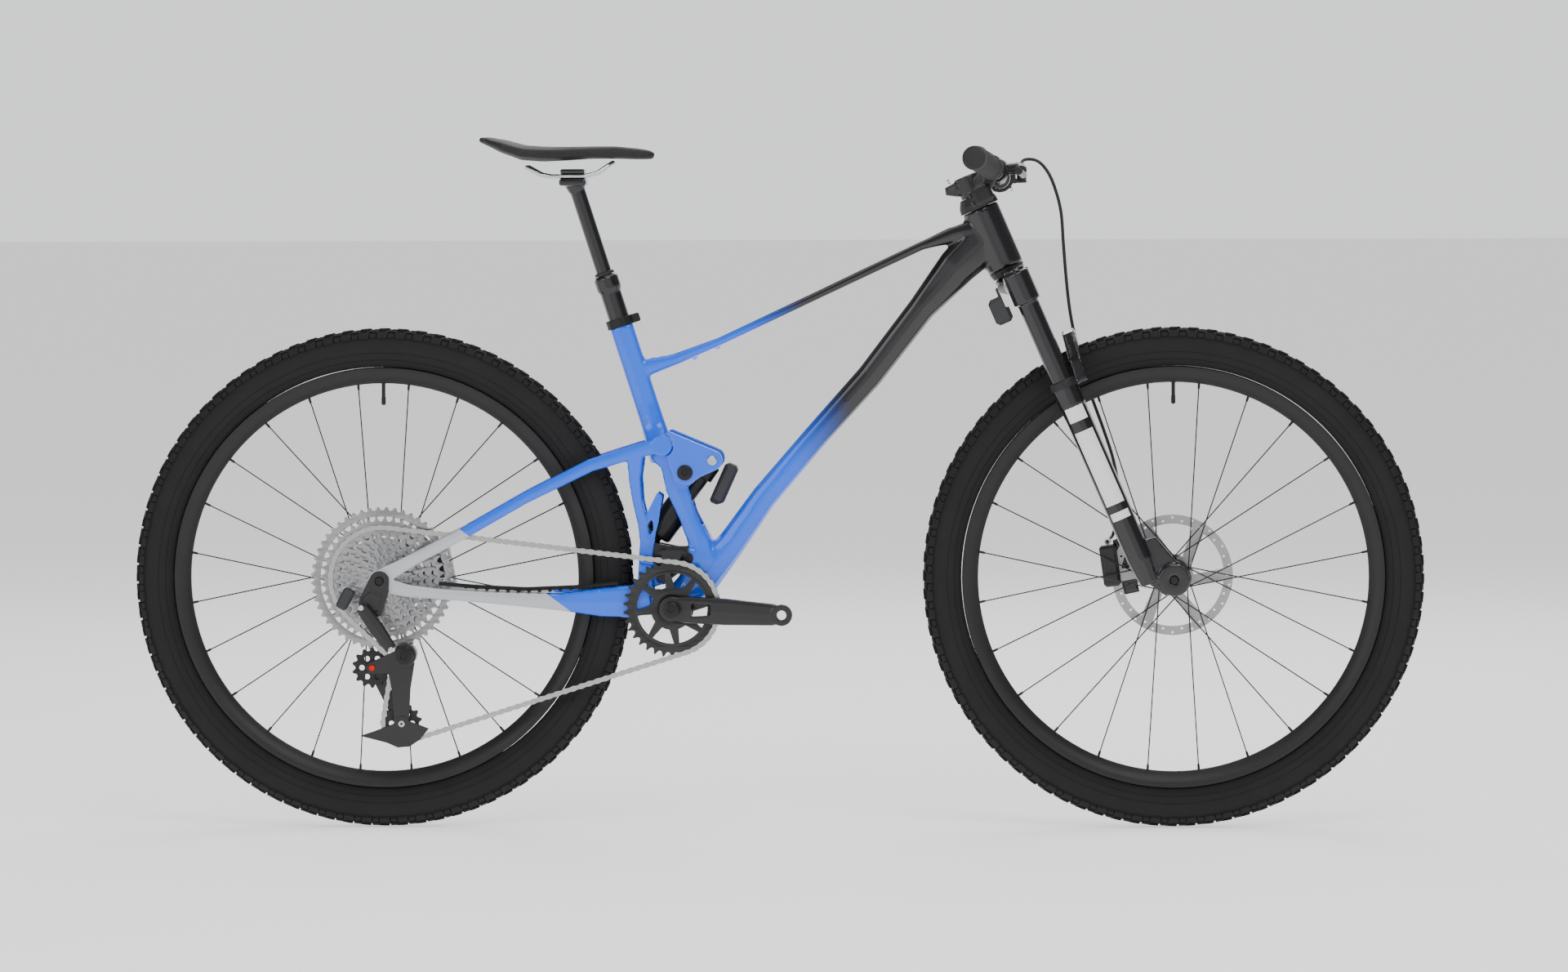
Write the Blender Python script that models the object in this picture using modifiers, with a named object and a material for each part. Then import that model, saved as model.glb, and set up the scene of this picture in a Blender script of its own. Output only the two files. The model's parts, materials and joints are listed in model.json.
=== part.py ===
"""A full-suspension mountain bike with 29 inch wheels, as an assembly of its separate pieces.

+X is forward, +Y is the left side, +Z is up. The origin is on the ground, midway between the axles.
Sizes are in millimetres, and the shape functions turn them into metres.
"""

import math

import bmesh
import bpy
from mathutils import Matrix, Vector

MM = 0.001
GAP = 0.4  # between solids that touch on the real bike
WELD = 2e-7  # metres within which two corners are one

# Wheels
WHEELBASE = 1174.0
TYRE_RADIUS = 372.0
TYRE_WIDTH = 60.0
TYRE_WALL = 3.0
RIM_SEAT_RADIUS = 313.5
RIM_DEPTH = 24.0
RIM_WIDTH = 31.0
RIM_WALL = 3.5
WHEEL_STEPS = 32
SPOKE_COUNT = 24
SPOKE_RADIUS = 0.9
AXLE_RADIUS = 6.0
FRONT_HUB_WIDTH = 110.0
REAR_HUB_WIDTH = 148.0
HUB_FLANGE_RADIUS = 26.0
FRONT_ROTOR_RADIUS = 90.0
REAR_ROTOR_RADIUS = 80.0
ROTOR_TRACK = 16.0
ROTOR_THICKNESS = 1.9
FRONT_ROTOR_Y = 45.0
REAR_ROTOR_Y = 53.0

# Steering and fork
HEAD_ANGLE = math.radians(66.5)
FORK_OFFSET = 44.0
FORK_TRAVEL = 110.0
LEG_Y = 65.0
LEG_OFFSET = 9.5
LEG_RADIUS = 19.0
LEG_BOTTOM = 9.0
LEG_TOP = 328.0
STANCHION_RADIUS = 16.0
CROWN_BOTTOM = 462.0
CROWN_ARCH = 487.0
CROWN_TOP = 505.0
STEERER_RADIUS = 14.3
HEAD_TUBE_RADIUS = 28.0
HEAD_TUBE_BOTTOM = 520.0
HEAD_TUBE_TOP = 616.0
STEM_BOTTOM = 637.0
STEM_TOP = 668.0

# Handlebar, from its middle to the right end
BAR_ROUTE = [(330, 0, 964), (330, -38, 964), (331.5, -120, 966.5), (331.3, -185, 972.3), (294.5, -372, 995)]
BAR_RADIUS = 11.0
BAR_CLAMP_RADIUS = 15.9
GRIP_RADIUS = 16.0
GRIP_LENGTH = 128.0

# Drivetrain
CRANK_AXLE = (-155.3, 329.2)
CRANK_LENGTH = 163.4
CRANK_DROP = math.radians(2.9)
SPINDLE_RADIUS = 14.5
SHELL_RADIUS = 24.0
SHELL_HALF_WIDTH = 37.0
CHAIN_PITCH = 12.7
CHAIN_HEIGHT = 8.6
CHAIN_WIDTH = 4.4
RING_TEETH = 34
RING_Y = -52.0
COG_TEETH = [52, 44, 38, 32, 28, 24, 21, 18, 16, 14, 12, 10]
COG_SPACING = 3.6
FIRST_COG_Y = -31.5
COG_THICKNESS = 1.8
CHAIN_COG = 2
PULLEY_TEETH = 14
UPPER_PULLEY = (-602.5, 240.1)
LOWER_PULLEY = (-558.9, 157.0)
CAGE_PIVOT = (-549.5, 262.5)
LINK_TOP = (-612.0, 334.0)
LINK_BOTTOM = (-568.0, 272.0)
OUTER_LINK_Y = -103.0
INNER_LINK_Y = -91.5

# Rear suspension pivots, as (X, Z)
ROCKER_PIVOT = (-135.8, 530.3)
SHOCK_TOP = (-95.6, 548.1)
STAY_PIVOT = (-170.4, 570.4)
LINK_PIVOT = (-133.8, 402.8)
SHOCK_BOTTOM = (-193.1, 416.6)
YOKE_PIVOT = (-171.4, 373.3)
SWING_CENTRE = (-86.2, 429.5)
WALL_INNER_Y = 30.0
WALL_OUTER_Y = 39.5
WALL_HALF = WALL_OUTER_Y - 0.8  # the seat tube's walls, a little inside the faces of their bosses
ROCKER_INNER_Y = 40.3
ROCKER_OUTER_Y = 50.0
SHOCK_STROKE = 42.0
SHOCK_TUBE_RADIUS = 13.5
AIR_CAN_RADIUS = 21.0

# Seat tube and dropper post: the post leans back by this much from upright
POST_LEAN = math.radians(17.8)
POST_FOOT = (-234.2, 754.2)
SEAT_TUBE_RADIUS = 18.0
POST_OUTER_RADIUS = 15.8
POST_INNER_RADIUS = 11.5
SEAL_HEAD_RADIUS = 18.5
SEAL_HEAD_TOP = 72.0
DROPPER_TRAVEL = 125.0
POST_EXPOSED = 145.0

REAR_AXLE = (-WHEELBASE / 2, TYRE_RADIUS)
FRONT_AXLE = (WHEELBASE / 2, TYRE_RADIUS)
HALF_REAR = REAR_HUB_WIDTH / 2
HALF_FRONT = FRONT_HUB_WIDTH / 2
COG_Y = FIRST_COG_Y - COG_SPACING * CHAIN_COG

for old in list(bpy.data.objects):
    bpy.data.objects.remove(old, do_unlink=True)
parts = bpy.data.collections.new("mountain_bike")
bpy.context.scene.collection.children.link(parts)
cutters = bpy.data.collections.new("cutters")
bpy.context.scene.collection.children.link(cutters)


# ---------------------------------------------------------------- materials
def paint(name, colour, roughness, metallic=0.0):
    made = bpy.data.materials.new(name)
    made.use_nodes = True
    shader = made.node_tree.nodes["Principled BSDF"]
    shader.inputs["Base Color"].default_value = (*colour, 1)
    shader.inputs["Roughness"].default_value = roughness
    shader.inputs["Metallic"].default_value = metallic
    made.diffuse_color = (*colour, 1)
    return made


BLUE = paint("gloss_blue_paint", (0.01, 0.2, 0.8), 0.2)
SILVER_PAINT = paint("silver_paint", (0.6, 0.6, 0.62), 0.3, 0.5)
BLACK_GLOSS = paint("gloss_black", (0.012, 0.012, 0.013), 0.2)
BLACK_SATIN = paint("satin_black", (0.02, 0.02, 0.021), 0.5)
RUBBER = paint("black_rubber", (0.02, 0.02, 0.02), 0.85)
STEEL = paint("bright_steel", (0.55, 0.55, 0.55), 0.3, 1.0)
ALLOY = paint("bead_blasted_alloy", (0.5, 0.5, 0.51), 0.35, 1.0)


# ---------------------------------------------------------------- shapes
def place(x, y, z):
    return Vector((x, y, z)) * MM


def obj_of(mesh):
    made = bpy.data.objects.new("shape", mesh)
    cutters.objects.link(made)
    return made


def baked(source):
    """The object's evaluated mesh as a new plain object with its caps welded; the source is removed."""
    bpy.context.view_layer.update()
    graph = bpy.context.evaluated_depsgraph_get()
    mesh = bpy.data.meshes.new_from_object(source.evaluated_get(graph))
    mesh.transform(source.matrix_world)
    bm = bmesh.new()
    bm.from_mesh(mesh)
    bmesh.ops.remove_doubles(bm, verts=bm.verts, dist=WELD)
    bm.to_mesh(mesh)
    bm.free()
    bpy.data.objects.remove(source, do_unlink=True)
    return obj_of(mesh)


def from_bmesh(bm, matrix=None):
    if matrix is not None:
        bmesh.ops.transform(bm, matrix=matrix, verts=bm.verts)
    mesh = bpy.data.meshes.new("shape")
    bm.to_mesh(mesh)
    bm.free()
    return obj_of(mesh)


def aimed(start, direction):
    """A matrix that puts local +Z along a direction at a start point."""
    turn = Vector(direction).to_track_quat("Z", "Y").to_matrix().to_4x4()
    return Matrix.Translation(place(*start)) @ turn


def cylinder(start, end, radius, end_radius=None, sides=16):
    a, b = Vector(start), Vector(end)
    last = radius if end_radius is None else end_radius
    bm = bmesh.new()
    depth = (b - a).length
    bmesh.ops.create_cone(
        bm, cap_ends=True, segments=sides, radius1=radius * MM, radius2=last * MM, depth=depth * MM
    )
    return from_bmesh(bm, aimed((a + b) / 2, b - a))


def across(centre, y_from, y_to, radius, end_radius=None, sides=16):
    """A cylinder whose axis runs sideways, at a point given as (X, Z)."""
    x, z = centre
    return cylinder((x, y_from, z), (x, y_to, z), radius, end_radius, sides)


def block(centre, size, bevel=0.0, turn=0.0, yaw=0.0):
    """A box; turn is about +Y and yaw about +Z, in radians."""
    bm = bmesh.new()
    bmesh.ops.create_cube(bm, size=1.0)
    bmesh.ops.scale(bm, vec=place(*size), verts=bm.verts)
    if bevel:
        bmesh.ops.bevel(bm, geom=bm.edges, offset=bevel * MM, segments=1, affect="EDGES")
    spin = Matrix.Rotation(yaw, 4, "Z") @ Matrix.Rotation(turn, 4, "Y")
    return from_bmesh(bm, Matrix.Translation(place(*centre)) @ spin)


def turned(profile, centre, along=(0, 1, 0), steps=16):
    """A turned piece. The profile is (radius, height along the axis), closed in itself or on the axis."""
    area = 0.0
    for (r1, h1), (r2, h2) in zip(profile, profile[1:] + profile[:1]):
        area += r1 * h2 - r2 * h1
    points = profile if area < 0 else profile[::-1]
    solid = points[0][0] == 0 and points[-1][0] == 0
    edges = [(i, i + 1) for i in range(len(points) - 1)]
    if not solid:
        edges.append((len(points) - 1, 0))
    mesh = bpy.data.meshes.new("profile")
    mesh.from_pydata([place(r, 0, h) for r, h in points], edges, [])
    piece = obj_of(mesh)
    screw = piece.modifiers.new("Screw", "SCREW")
    screw.steps = screw.render_steps = steps
    screw.use_merge_vertices = True
    screw.merge_threshold = 1e-6
    piece.matrix_world = aimed(centre, along)
    return baked(piece)


def plate(outline, y_from, y_to, holes=()):
    """A flat piece parallel to the XZ plane, from its outline and holes as lists of (X, Z)."""
    curve = bpy.data.curves.new("outline", "CURVE")
    curve.dimensions = "2D"
    curve.fill_mode = "BOTH"
    curve.extrude = abs(y_to - y_from) / 2 * MM
    for ring in (outline, *holes):
        spline = curve.splines.new("POLY")
        spline.points.add(len(ring) - 1)
        for point, (x, z) in zip(spline.points, ring):
            point.co = (x * MM, z * MM, 0, 1)
        spline.use_cyclic_u = True
    piece = obj_of(curve)
    middle = Matrix.Translation(place(0, (y_from + y_to) / 2, 0))
    piece.matrix_world = middle @ Matrix.Rotation(math.pi / 2, 4, "X")
    return baked(piece)


def arc(centre, radius, start, end, count):
    """Points along an arc, its angles in degrees from +X towards +Z."""
    out = []
    for i in range(count):
        angle = math.radians(start + (end - start) * i / (count - 1))
        out.append((centre[0] + radius * math.cos(angle), centre[1] + radius * math.sin(angle)))
    return out


def circle(centre, radius, count=16):
    return arc(centre, radius, 0, 360 * (count - 1) / count, count)


def tube(points, radius, resolution=2):
    """A round bar or hose along a route."""
    curve = bpy.data.curves.new("route", "CURVE")
    curve.dimensions = "3D"
    curve.bevel_depth = radius * MM
    curve.bevel_resolution = resolution
    curve.use_fill_caps = True
    spline = curve.splines.new("POLY")
    spline.points.add(len(points) - 1)
    for point, where in zip(spline.points, points):
        point.co = (*place(*where), 1)
    return baked(obj_of(curve))


def smooth_route(points, pieces=4):
    """Points along a smooth curve through the given ones."""
    ends = [Vector(p) for p in points]
    padded = [2 * ends[0] - ends[1], *ends, 2 * ends[-1] - ends[-2]]
    out = []
    for i in range(1, len(padded) - 2):
        a, b, c, d = padded[i - 1 : i + 3]
        for k in range(pieces):
            t = k / pieces
            square, cube = 2 * a - 5 * b + 4 * c - d, 3 * b - a - 3 * c + d
            out.append(0.5 * (2 * b + (c - a) * t + square * t**2 + cube * t**3))
    return out + [ends[-1]]


def loft(stations, sides=10, squareness=2.6):
    """A closed body through oval sections, each given as (centre, half width, half height).

    The half width is measured sideways (towards +Y), and the half height square to it and to the route.
    """
    centres = [Vector(s[0]) for s in stations]
    bm = bmesh.new()
    rings = []
    for i, (_, wide, tall) in enumerate(stations):
        before, after = centres[max(i - 1, 0)], centres[min(i + 1, len(centres) - 1)]
        tangent = (after - before).normalized()
        side = (Vector((0, 1, 0)) - tangent * tangent.y).normalized()
        up = tangent.cross(side)
        ring = []
        for k in range(sides):
            angle = 2 * math.pi * k / sides
            c, s = math.cos(angle), math.sin(angle)
            u = math.copysign(abs(c) ** (2 / squareness), c) * wide
            v = math.copysign(abs(s) ** (2 / squareness), s) * tall
            ring.append(bm.verts.new((centres[i] + side * u + up * v) * MM))
        rings.append(ring)
    for a, b in zip(rings, rings[1:]):
        for k in range(sides):
            bm.faces.new((a[k], a[(k + 1) % sides], b[(k + 1) % sides], b[k]))
    bm.faces.new(rings[0][::-1])
    bm.faces.new(rings[-1])
    bmesh.ops.recalc_face_normals(bm, faces=bm.faces)
    return from_bmesh(bm)


def combine(base, others, operation, solver="EXACT"):
    for other in others:
        step = base.modifiers.new("Boolean", "BOOLEAN")
        step.operation = operation
        step.solver = solver
        step.object = other
        base = baked(base)
        bpy.data.objects.remove(other, do_unlink=True)
    return base


def union(*pieces):
    return combine(pieces[0], pieces[1:], "UNION") if len(pieces) > 1 else pieces[0]


def cut(base, *tools):
    return combine(base, tools, "DIFFERENCE")


def part(name, shape, finish):
    """Names a finished shape, gives it its material and puts it in the model."""
    shape.name = name
    shape.data.name = name
    shape.data.materials.clear()
    shape.data.materials.append(finish)
    shape.data.shade_smooth()
    shape.data.set_sharp_from_angle(angle=math.radians(35))
    cutters.objects.unlink(shape)
    parts.objects.link(shape)
    return shape


def body(name, pivot, pieces, parent=None):
    """An empty on a joint's axis that carries the pieces of one moving body."""
    empty = bpy.data.objects.new(name, None)
    parts.objects.link(empty)
    empty.location = place(*pivot)
    empty.empty_display_size = 0.03
    bpy.context.view_layer.update()
    world = empty.matrix_world.copy()
    if parent is not None:
        empty.parent = parent
        empty.matrix_parent_inverse = parent.matrix_world.inverted()
    for piece in pieces:
        piece.parent = empty
        piece.matrix_parent_inverse = world.inverted()
    bpy.context.view_layer.update()
    return empty


# ---------------------------------------------------------------- places on the steering axis
AXIS_UP = Vector((-math.cos(HEAD_ANGLE), 0, math.sin(HEAD_ANGLE)))
AXIS_FRONT = Vector((math.sin(HEAD_ANGLE), 0, math.cos(HEAD_ANGLE)))
AXIS_FOOT = Vector((FRONT_AXLE[0], 0, FRONT_AXLE[1])) - AXIS_FRONT * FORK_OFFSET


def steer(t, n=0.0, y=0.0):
    """A point t up the steering axis from the foot level with the axle, and n in front of it."""
    return AXIS_FOOT + AXIS_UP * t + AXIS_FRONT * n + Vector((0, y, 0))


POST_UP = Vector((-math.sin(POST_LEAN), 0, math.cos(POST_LEAN)))


def post(t, n=0.0, y=0.0):
    """A point t up the seat post from its collar, and n in front of it."""
    front = Vector((math.cos(POST_LEAN), 0, math.sin(POST_LEAN)))
    return Vector((POST_FOOT[0], y, POST_FOOT[1])) + POST_UP * t + front * n


def pitch_radius(teeth):
    return CHAIN_PITCH / (2 * math.sin(math.pi / teeth))


def on_x_z(point, y):
    return (point[0], y, point[1])


# ---------------------------------------------------------------- wheels
def tyre_shape(axle):
    middle = RIM_SEAT_RADIUS + 27
    step = 40
    tall, wide = (TYRE_RADIUS - middle) / math.cos(math.radians(step / 2)), TYRE_WIDTH / 2
    outer, inner = [], []
    for i in range(8):
        angle = math.radians(step * (i - 3.5))
        outer.append((middle + tall * math.cos(angle), wide * math.sin(angle)))
    for i in range(3):
        angle = math.radians(110 - 110 * i)
        inner.append((middle + (tall - TYRE_WALL) * math.cos(angle), (wide - TYRE_WALL) * math.sin(angle)))
    bead = RIM_SEAT_RADIUS + 2 * GAP
    profile = [*outer, (bead, 14.5), *inner, (bead, -14.5)]
    return turned(profile, on_x_z(axle, 0), steps=WHEEL_STEPS)


def rim_shape(axle):
    half, seat, low = RIM_WIDTH / 2, RIM_SEAT_RADIUS, RIM_SEAT_RADIUS - RIM_DEPTH
    outer = [(seat, half), (seat - 9, half - 0.6), (low, 4)]
    inner = [(low + RIM_WALL + 1, 3.0), (seat, half - RIM_WALL)]
    right = [(r, -h) for r, h in outer]
    right_inner = [(r, -h) for r, h in inner]
    profile = outer + right[::-1] + right_inner[::-1] + inner
    return turned(profile, on_x_z(axle, 0), steps=WHEEL_STEPS)


def hub_shape(axle, profile, flanges, bore):
    """The hub barrel with its straight-pull spokes, laced two-cross."""
    barrel = cut(turned(profile, on_x_z(axle, 0)), across(axle, -90, 90, bore))
    spoke_end = (RIM_SEAT_RADIUS - RIM_DEPTH) * math.cos(math.pi / WHEEL_STEPS) - 2 * GAP
    bm = bmesh.new()
    for i in range(SPOKE_COUNT):
        rim_angle = 2 * math.pi * (i + 0.5) / SPOKE_COUNT
        flange = flanges[i % 2]
        lead = 1 if (i // 2) % 2 else -1
        hub_angle = rim_angle + lead * math.radians(60)
        start = Vector((math.cos(hub_angle), 0, math.sin(hub_angle))) * (HUB_FLANGE_RADIUS - 3)
        start.y = flange + lead * 1.3
        end = Vector((math.cos(rim_angle), 0, math.sin(rim_angle))) * spoke_end
        end.y = math.copysign(2.0, flange) + lead * 0.3
        shift = Vector((axle[0], 0, axle[1]))
        a, b = start + shift, end + shift
        rings = bmesh.ops.create_cone(
            bm, cap_ends=True, segments=3, radius1=SPOKE_RADIUS * MM, radius2=SPOKE_RADIUS * MM,
            depth=(b - a).length * MM,
        )
        bmesh.ops.transform(bm, matrix=aimed((a + b) / 2, b - a), verts=rings["verts"])
    return union(barrel, from_bmesh(bm))


def rotor_shape(axle, y, radius):
    inner = radius - ROTOR_TRACK
    windows = []
    for i in range(6):
        start = 60 * i
        windows.append(arc(axle, inner, start + 8, start + 52, 4) + arc(axle, 30, start + 46, start + 14, 2))
    half = ROTOR_THICKNESS / 2
    holes = [circle(axle, 18.5), *windows]
    return plate(circle(axle, radius, 32), y - half, y + half, holes)


def wheel(prefix, axle, hub_profile, flanges, rotor_y, rotor_radius):
    return [
        part(f"{prefix}_tyre", tyre_shape(axle), RUBBER),
        part(f"{prefix}_rim", rim_shape(axle), BLACK_SATIN),
        part(f"{prefix}_hub_and_spokes", hub_shape(axle, hub_profile, flanges, AXLE_RADIUS + GAP),
             BLACK_SATIN),
        part(f"{prefix}_brake_rotor", rotor_shape(axle, rotor_y, rotor_radius), STEEL),
    ]


def hub_profile(left_end, right_end, left_flange, right_flange, rotor_y):
    """The barrel's outline from the right end to the left, with the rotor's seat on its left."""
    return [
        (0, right_end), (9, right_end), (14, right_flange - 4), (HUB_FLANGE_RADIUS, right_flange - 3),
        (HUB_FLANGE_RADIUS, right_flange + 3), (14, right_flange + 8), (14, left_flange - 8),
        (HUB_FLANGE_RADIUS, left_flange - 3), (HUB_FLANGE_RADIUS, left_flange + 3), (18, left_flange + 4),
        (18, rotor_y + 3), (10, rotor_y + 4), (9, left_end), (0, left_end),
    ]


front_profile = hub_profile(HALF_FRONT - GAP, -HALF_FRONT + GAP, 28, -34, FRONT_ROTOR_Y)
rear_profile = hub_profile(HALF_REAR - GAP, -HALF_REAR + GAP, 36, -22, REAR_ROTOR_Y)
front_wheel = wheel("front", FRONT_AXLE, front_profile, (28, -34), FRONT_ROTOR_Y, FRONT_ROTOR_RADIUS)
rear_wheel = wheel("rear", REAR_AXLE, rear_profile, (36, -22), REAR_ROTOR_Y, REAR_ROTOR_RADIUS)


# ---------------------------------------------------------------- main frame
def frame_shape():
    head = cylinder(steer(HEAD_TUBE_BOTTOM - 5), steer(HEAD_TUBE_TOP + 5), HEAD_TUBE_RADIUS, sides=20)
    down = loft([
        ((308, 0, 872), 24, 34), ((266, 0, 832), 26, 30), ((214, 0, 771), 26, 21), ((137, 0, 671), 26, 20),
        ((56, 0, 581), 27, 19), ((-20, 0, 492), 30, 20), ((-68, 0, 424), 34, 22), ((-112, 0, 372), 36, 28),
        (on_x_z(CRANK_AXLE, 0), 36, 25),
    ], squareness=3.2)
    top = loft([
        ((300, 0, 890), 22, 17), ((262, 0, 881), 21, 13), ((214, 0, 864), 20, 7.5), ((64, 0, 793), 19, 6.5),
        ((-85, 0, 723), 18, 6.5), ((-150, 0, 697), 17, 9), ((-196, 0, 684), 16, 14),
    ], squareness=3.2)
    seat = loft([
        (post(-10), SEAT_TUBE_RADIUS, SEAT_TUBE_RADIUS), (post(-75), SEAT_TUBE_RADIUS, SEAT_TUBE_RADIUS),
        (post(-130), 18, 18), (post(-165), 22, 18.5), (post(-190), 36, 20), (post(-205), WALL_HALF, 23),
        ((-153, 0, 545), WALL_HALF, 27), ((-148, 0, 505), WALL_HALF, 22), ((-133, 0, 465), WALL_HALF, 17),
        ((-118, 0, 430), WALL_HALF, 20), ((-112, 0, 400), WALL_HALF, 24), ((-128, 0, 355), 35, 25),
    ], squareness=3.6)
    shell = across(CRANK_AXLE, -SHELL_HALF_WIDTH, SHELL_HALF_WIDTH, SHELL_RADIUS, sides=20)
    eye = across(LINK_PIVOT, -WALL_OUTER_Y, WALL_OUTER_Y, 15)
    knuckle = across(ROCKER_PIVOT, -WALL_OUTER_Y, WALL_OUTER_Y, 20)
    tunnel = plate(
        [(-114, 560), (-150, 562), (-186, 540), (-236, 452), (-205, 356), (-182, 356), (-158, 372),
         (-118, 398), (-104, 425), (-112, 452), (-60, 500), (-60, 560)],
        -WALL_INNER_Y, WALL_INNER_Y,
    )
    steerer_bore = cylinder(steer(HEAD_TUBE_BOTTOM - 60), steer(HEAD_TUBE_TOP + 30), STEERER_RADIUS + 3)
    trim = cylinder(steer(HEAD_TUBE_TOP), steer(HEAD_TUBE_TOP + 60), 60, sides=8)
    below = cylinder(steer(HEAD_TUBE_BOTTOM - 60), steer(HEAD_TUBE_BOTTOM), 40, sides=8)
    post_bore = cylinder(post(-178), post(30), POST_OUTER_RADIUS + GAP)
    shell_bore = across(CRANK_AXLE, -60, 60, SHELL_RADIUS - 4.5)
    frame = cut(union(head, down, top, seat, shell, eye, knuckle), tunnel, steerer_bore, trim, below,
                post_bore, shell_bore)
    stubs = []
    for side in (-1, 1):
        stubs.append(across(ROCKER_PIVOT, side * (WALL_INNER_Y + 2), side * (ROCKER_OUTER_Y + 0.5), 9))
    pin = across(LINK_PIVOT, -WALL_INNER_Y - 4, WALL_INNER_Y + 4, 6)
    boss_a = cylinder((-124, 0, 703), (-121, 0, 696), 4, sides=10)
    boss_b = cylinder((-90, 0, 719), (-87, 0, 711), 4, sides=10)
    return union(frame, *stubs, pin, boss_a, boss_b)


frame_node = part("main_frame", frame_shape(), BLUE)

crown_seat = HEAD_TUBE_BOTTOM - CROWN_TOP
lower_cup = part("headset_lower_cup", turned(
    [(STEERER_RADIUS + 1.5, 3.5), (24, 3.5), (27.5, crown_seat - GAP),
     (STEERER_RADIUS + 1.5, crown_seat - GAP)],
    steer(CROWN_TOP), AXIS_UP), BLACK_SATIN)
upper_cover = part("headset_upper_cover", turned(
    [(STEERER_RADIUS + 1.5, GAP), (30, GAP), (29, 9), (23, STEM_BOTTOM - HEAD_TUBE_TOP - GAP),
     (STEERER_RADIUS + 1.5, STEM_BOTTOM - HEAD_TUBE_TOP - GAP)],
    steer(HEAD_TUBE_TOP), AXIS_UP), BLACK_SATIN)


def seatpost_outer_shape():
    sleeve = cylinder(post(-170), post(SEAL_HEAD_TOP - 26), POST_OUTER_RADIUS)
    head = turned([(0, 0), (16.5, 0), (SEAL_HEAD_RADIUS, 5), (SEAL_HEAD_RADIUS, 21), (15, 26), (0, 26)],
                  post(SEAL_HEAD_TOP - 27), POST_UP)
    bore = cylinder(post(-168), post(SEAL_HEAD_TOP + 10), POST_INNER_RADIUS + GAP)
    return cut(union(sleeve, head), bore)


post_outer = part("seatpost_outer", seatpost_outer_shape(), BLACK_GLOSS)


def seat_collar_shape():
    ring = cylinder(post(-9.5), post(4), SEAT_TUBE_RADIUS + 3)
    ear = block(post(-3, SEAT_TUBE_RADIUS + 5), (14, 16, 13), 1.5, POST_LEAN * -1)
    slit = block(post(-3, SEAT_TUBE_RADIUS + 5), (20, 2, 30), 0, -POST_LEAN)
    inside = cylinder(post(-30), post(20), POST_OUTER_RADIUS + 2 * GAP)
    return cut(union(ring, ear), inside, slit)


collar = part("seat_collar", seat_collar_shape(), BLACK_SATIN)


def bottom_bracket_shape():
    sleeve = across(CRANK_AXLE, -SHELL_HALF_WIDTH - 4, SHELL_HALF_WIDTH + 4, SHELL_RADIUS - 5)
    cups = []
    for side in (-1, 1):
        cups.append(across(CRANK_AXLE, side * (SHELL_HALF_WIDTH + GAP), side * (SHELL_HALF_WIDTH + 7), 22))
    return cut(union(sleeve, *cups), across(CRANK_AXLE, -60, 60, SPINDLE_RADIUS + GAP))


bottom_bracket = part("bottom_bracket", bottom_bracket_shape(), BLACK_SATIN)
ring_radius = pitch_radius(RING_TEETH)


def chain_guide_shape():
    cx, cz = CRANK_AXLE
    guide_radius = ring_radius + 14
    roof = plate(arc(CRANK_AXLE, guide_radius + 5, 76, 104, 4) + arc(CRANK_AXLE, guide_radius, 104, 76, 4),
                 RING_Y - 7, RING_Y + 7)
    cheek_outline = [*arc(CRANK_AXLE, guide_radius + 4, 80, 101, 4),
                     *arc(CRANK_AXLE, ring_radius + 5, 101, 80, 4)]
    cheek = plate(cheek_outline, RING_Y + 4.6, RING_Y + 6.6)
    outer_cheek = plate(cheek_outline, RING_Y - 6.6, RING_Y - 4.6)
    arm = plate([(cx - 12, cz + 76), (cx + 22, cz + 76), (cx + 25, cz + 92), (cx - 10, cz + 92)],
                RING_Y + 5.5, -WALL_OUTER_Y - GAP)
    return union(roof, cheek, outer_cheek, arm)


chain_guide = part("chain_guide", chain_guide_shape(), BLACK_SATIN)
frame_body = body("frame", (0, 0, 0), [
    frame_node, lower_cup, upper_cover, post_outer, collar, bottom_bracket, chain_guide])


# ---------------------------------------------------------------- fork and cockpit
def crown_bridge():
    """The arched crown between the leg sockets, as a loft across the bike."""
    rows = [(-LEG_Y, CROWN_BOTTOM + 8, CROWN_TOP, 17), (-42, CROWN_BOTTOM + 20, CROWN_TOP, 18),
            (-22, CROWN_ARCH, CROWN_TOP, 25), (22, CROWN_ARCH, CROWN_TOP, 25),
            (42, CROWN_BOTTOM + 20, CROWN_TOP, 18), (LEG_Y, CROWN_BOTTOM + 8, CROWN_TOP, 17)]
    bm = bmesh.new()
    rings = []
    for y, low, high, half in rows:
        lean = LEG_OFFSET * min(1, abs(y) / LEG_Y)
        corners = [(low, -half), (low, half), ((low + high) / 2, half + 2), (high - 3, half),
                   (high, half - 5), (high, 5 - half), (high - 3, -half), ((low + high) / 2, -half - 2)]
        rings.append([bm.verts.new(steer(t, n + lean, y) * MM) for t, n in corners])
    for a, b in zip(rings, rings[1:]):
        for k in range(len(a)):
            j = (k + 1) % len(a)
            bm.faces.new((a[k], a[j], b[j], b[k]))
    bm.faces.new(rings[0][::-1])
    bm.faces.new(rings[-1])
    bmesh.ops.recalc_face_normals(bm, faces=bm.faces)
    return from_bmesh(bm)


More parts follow.
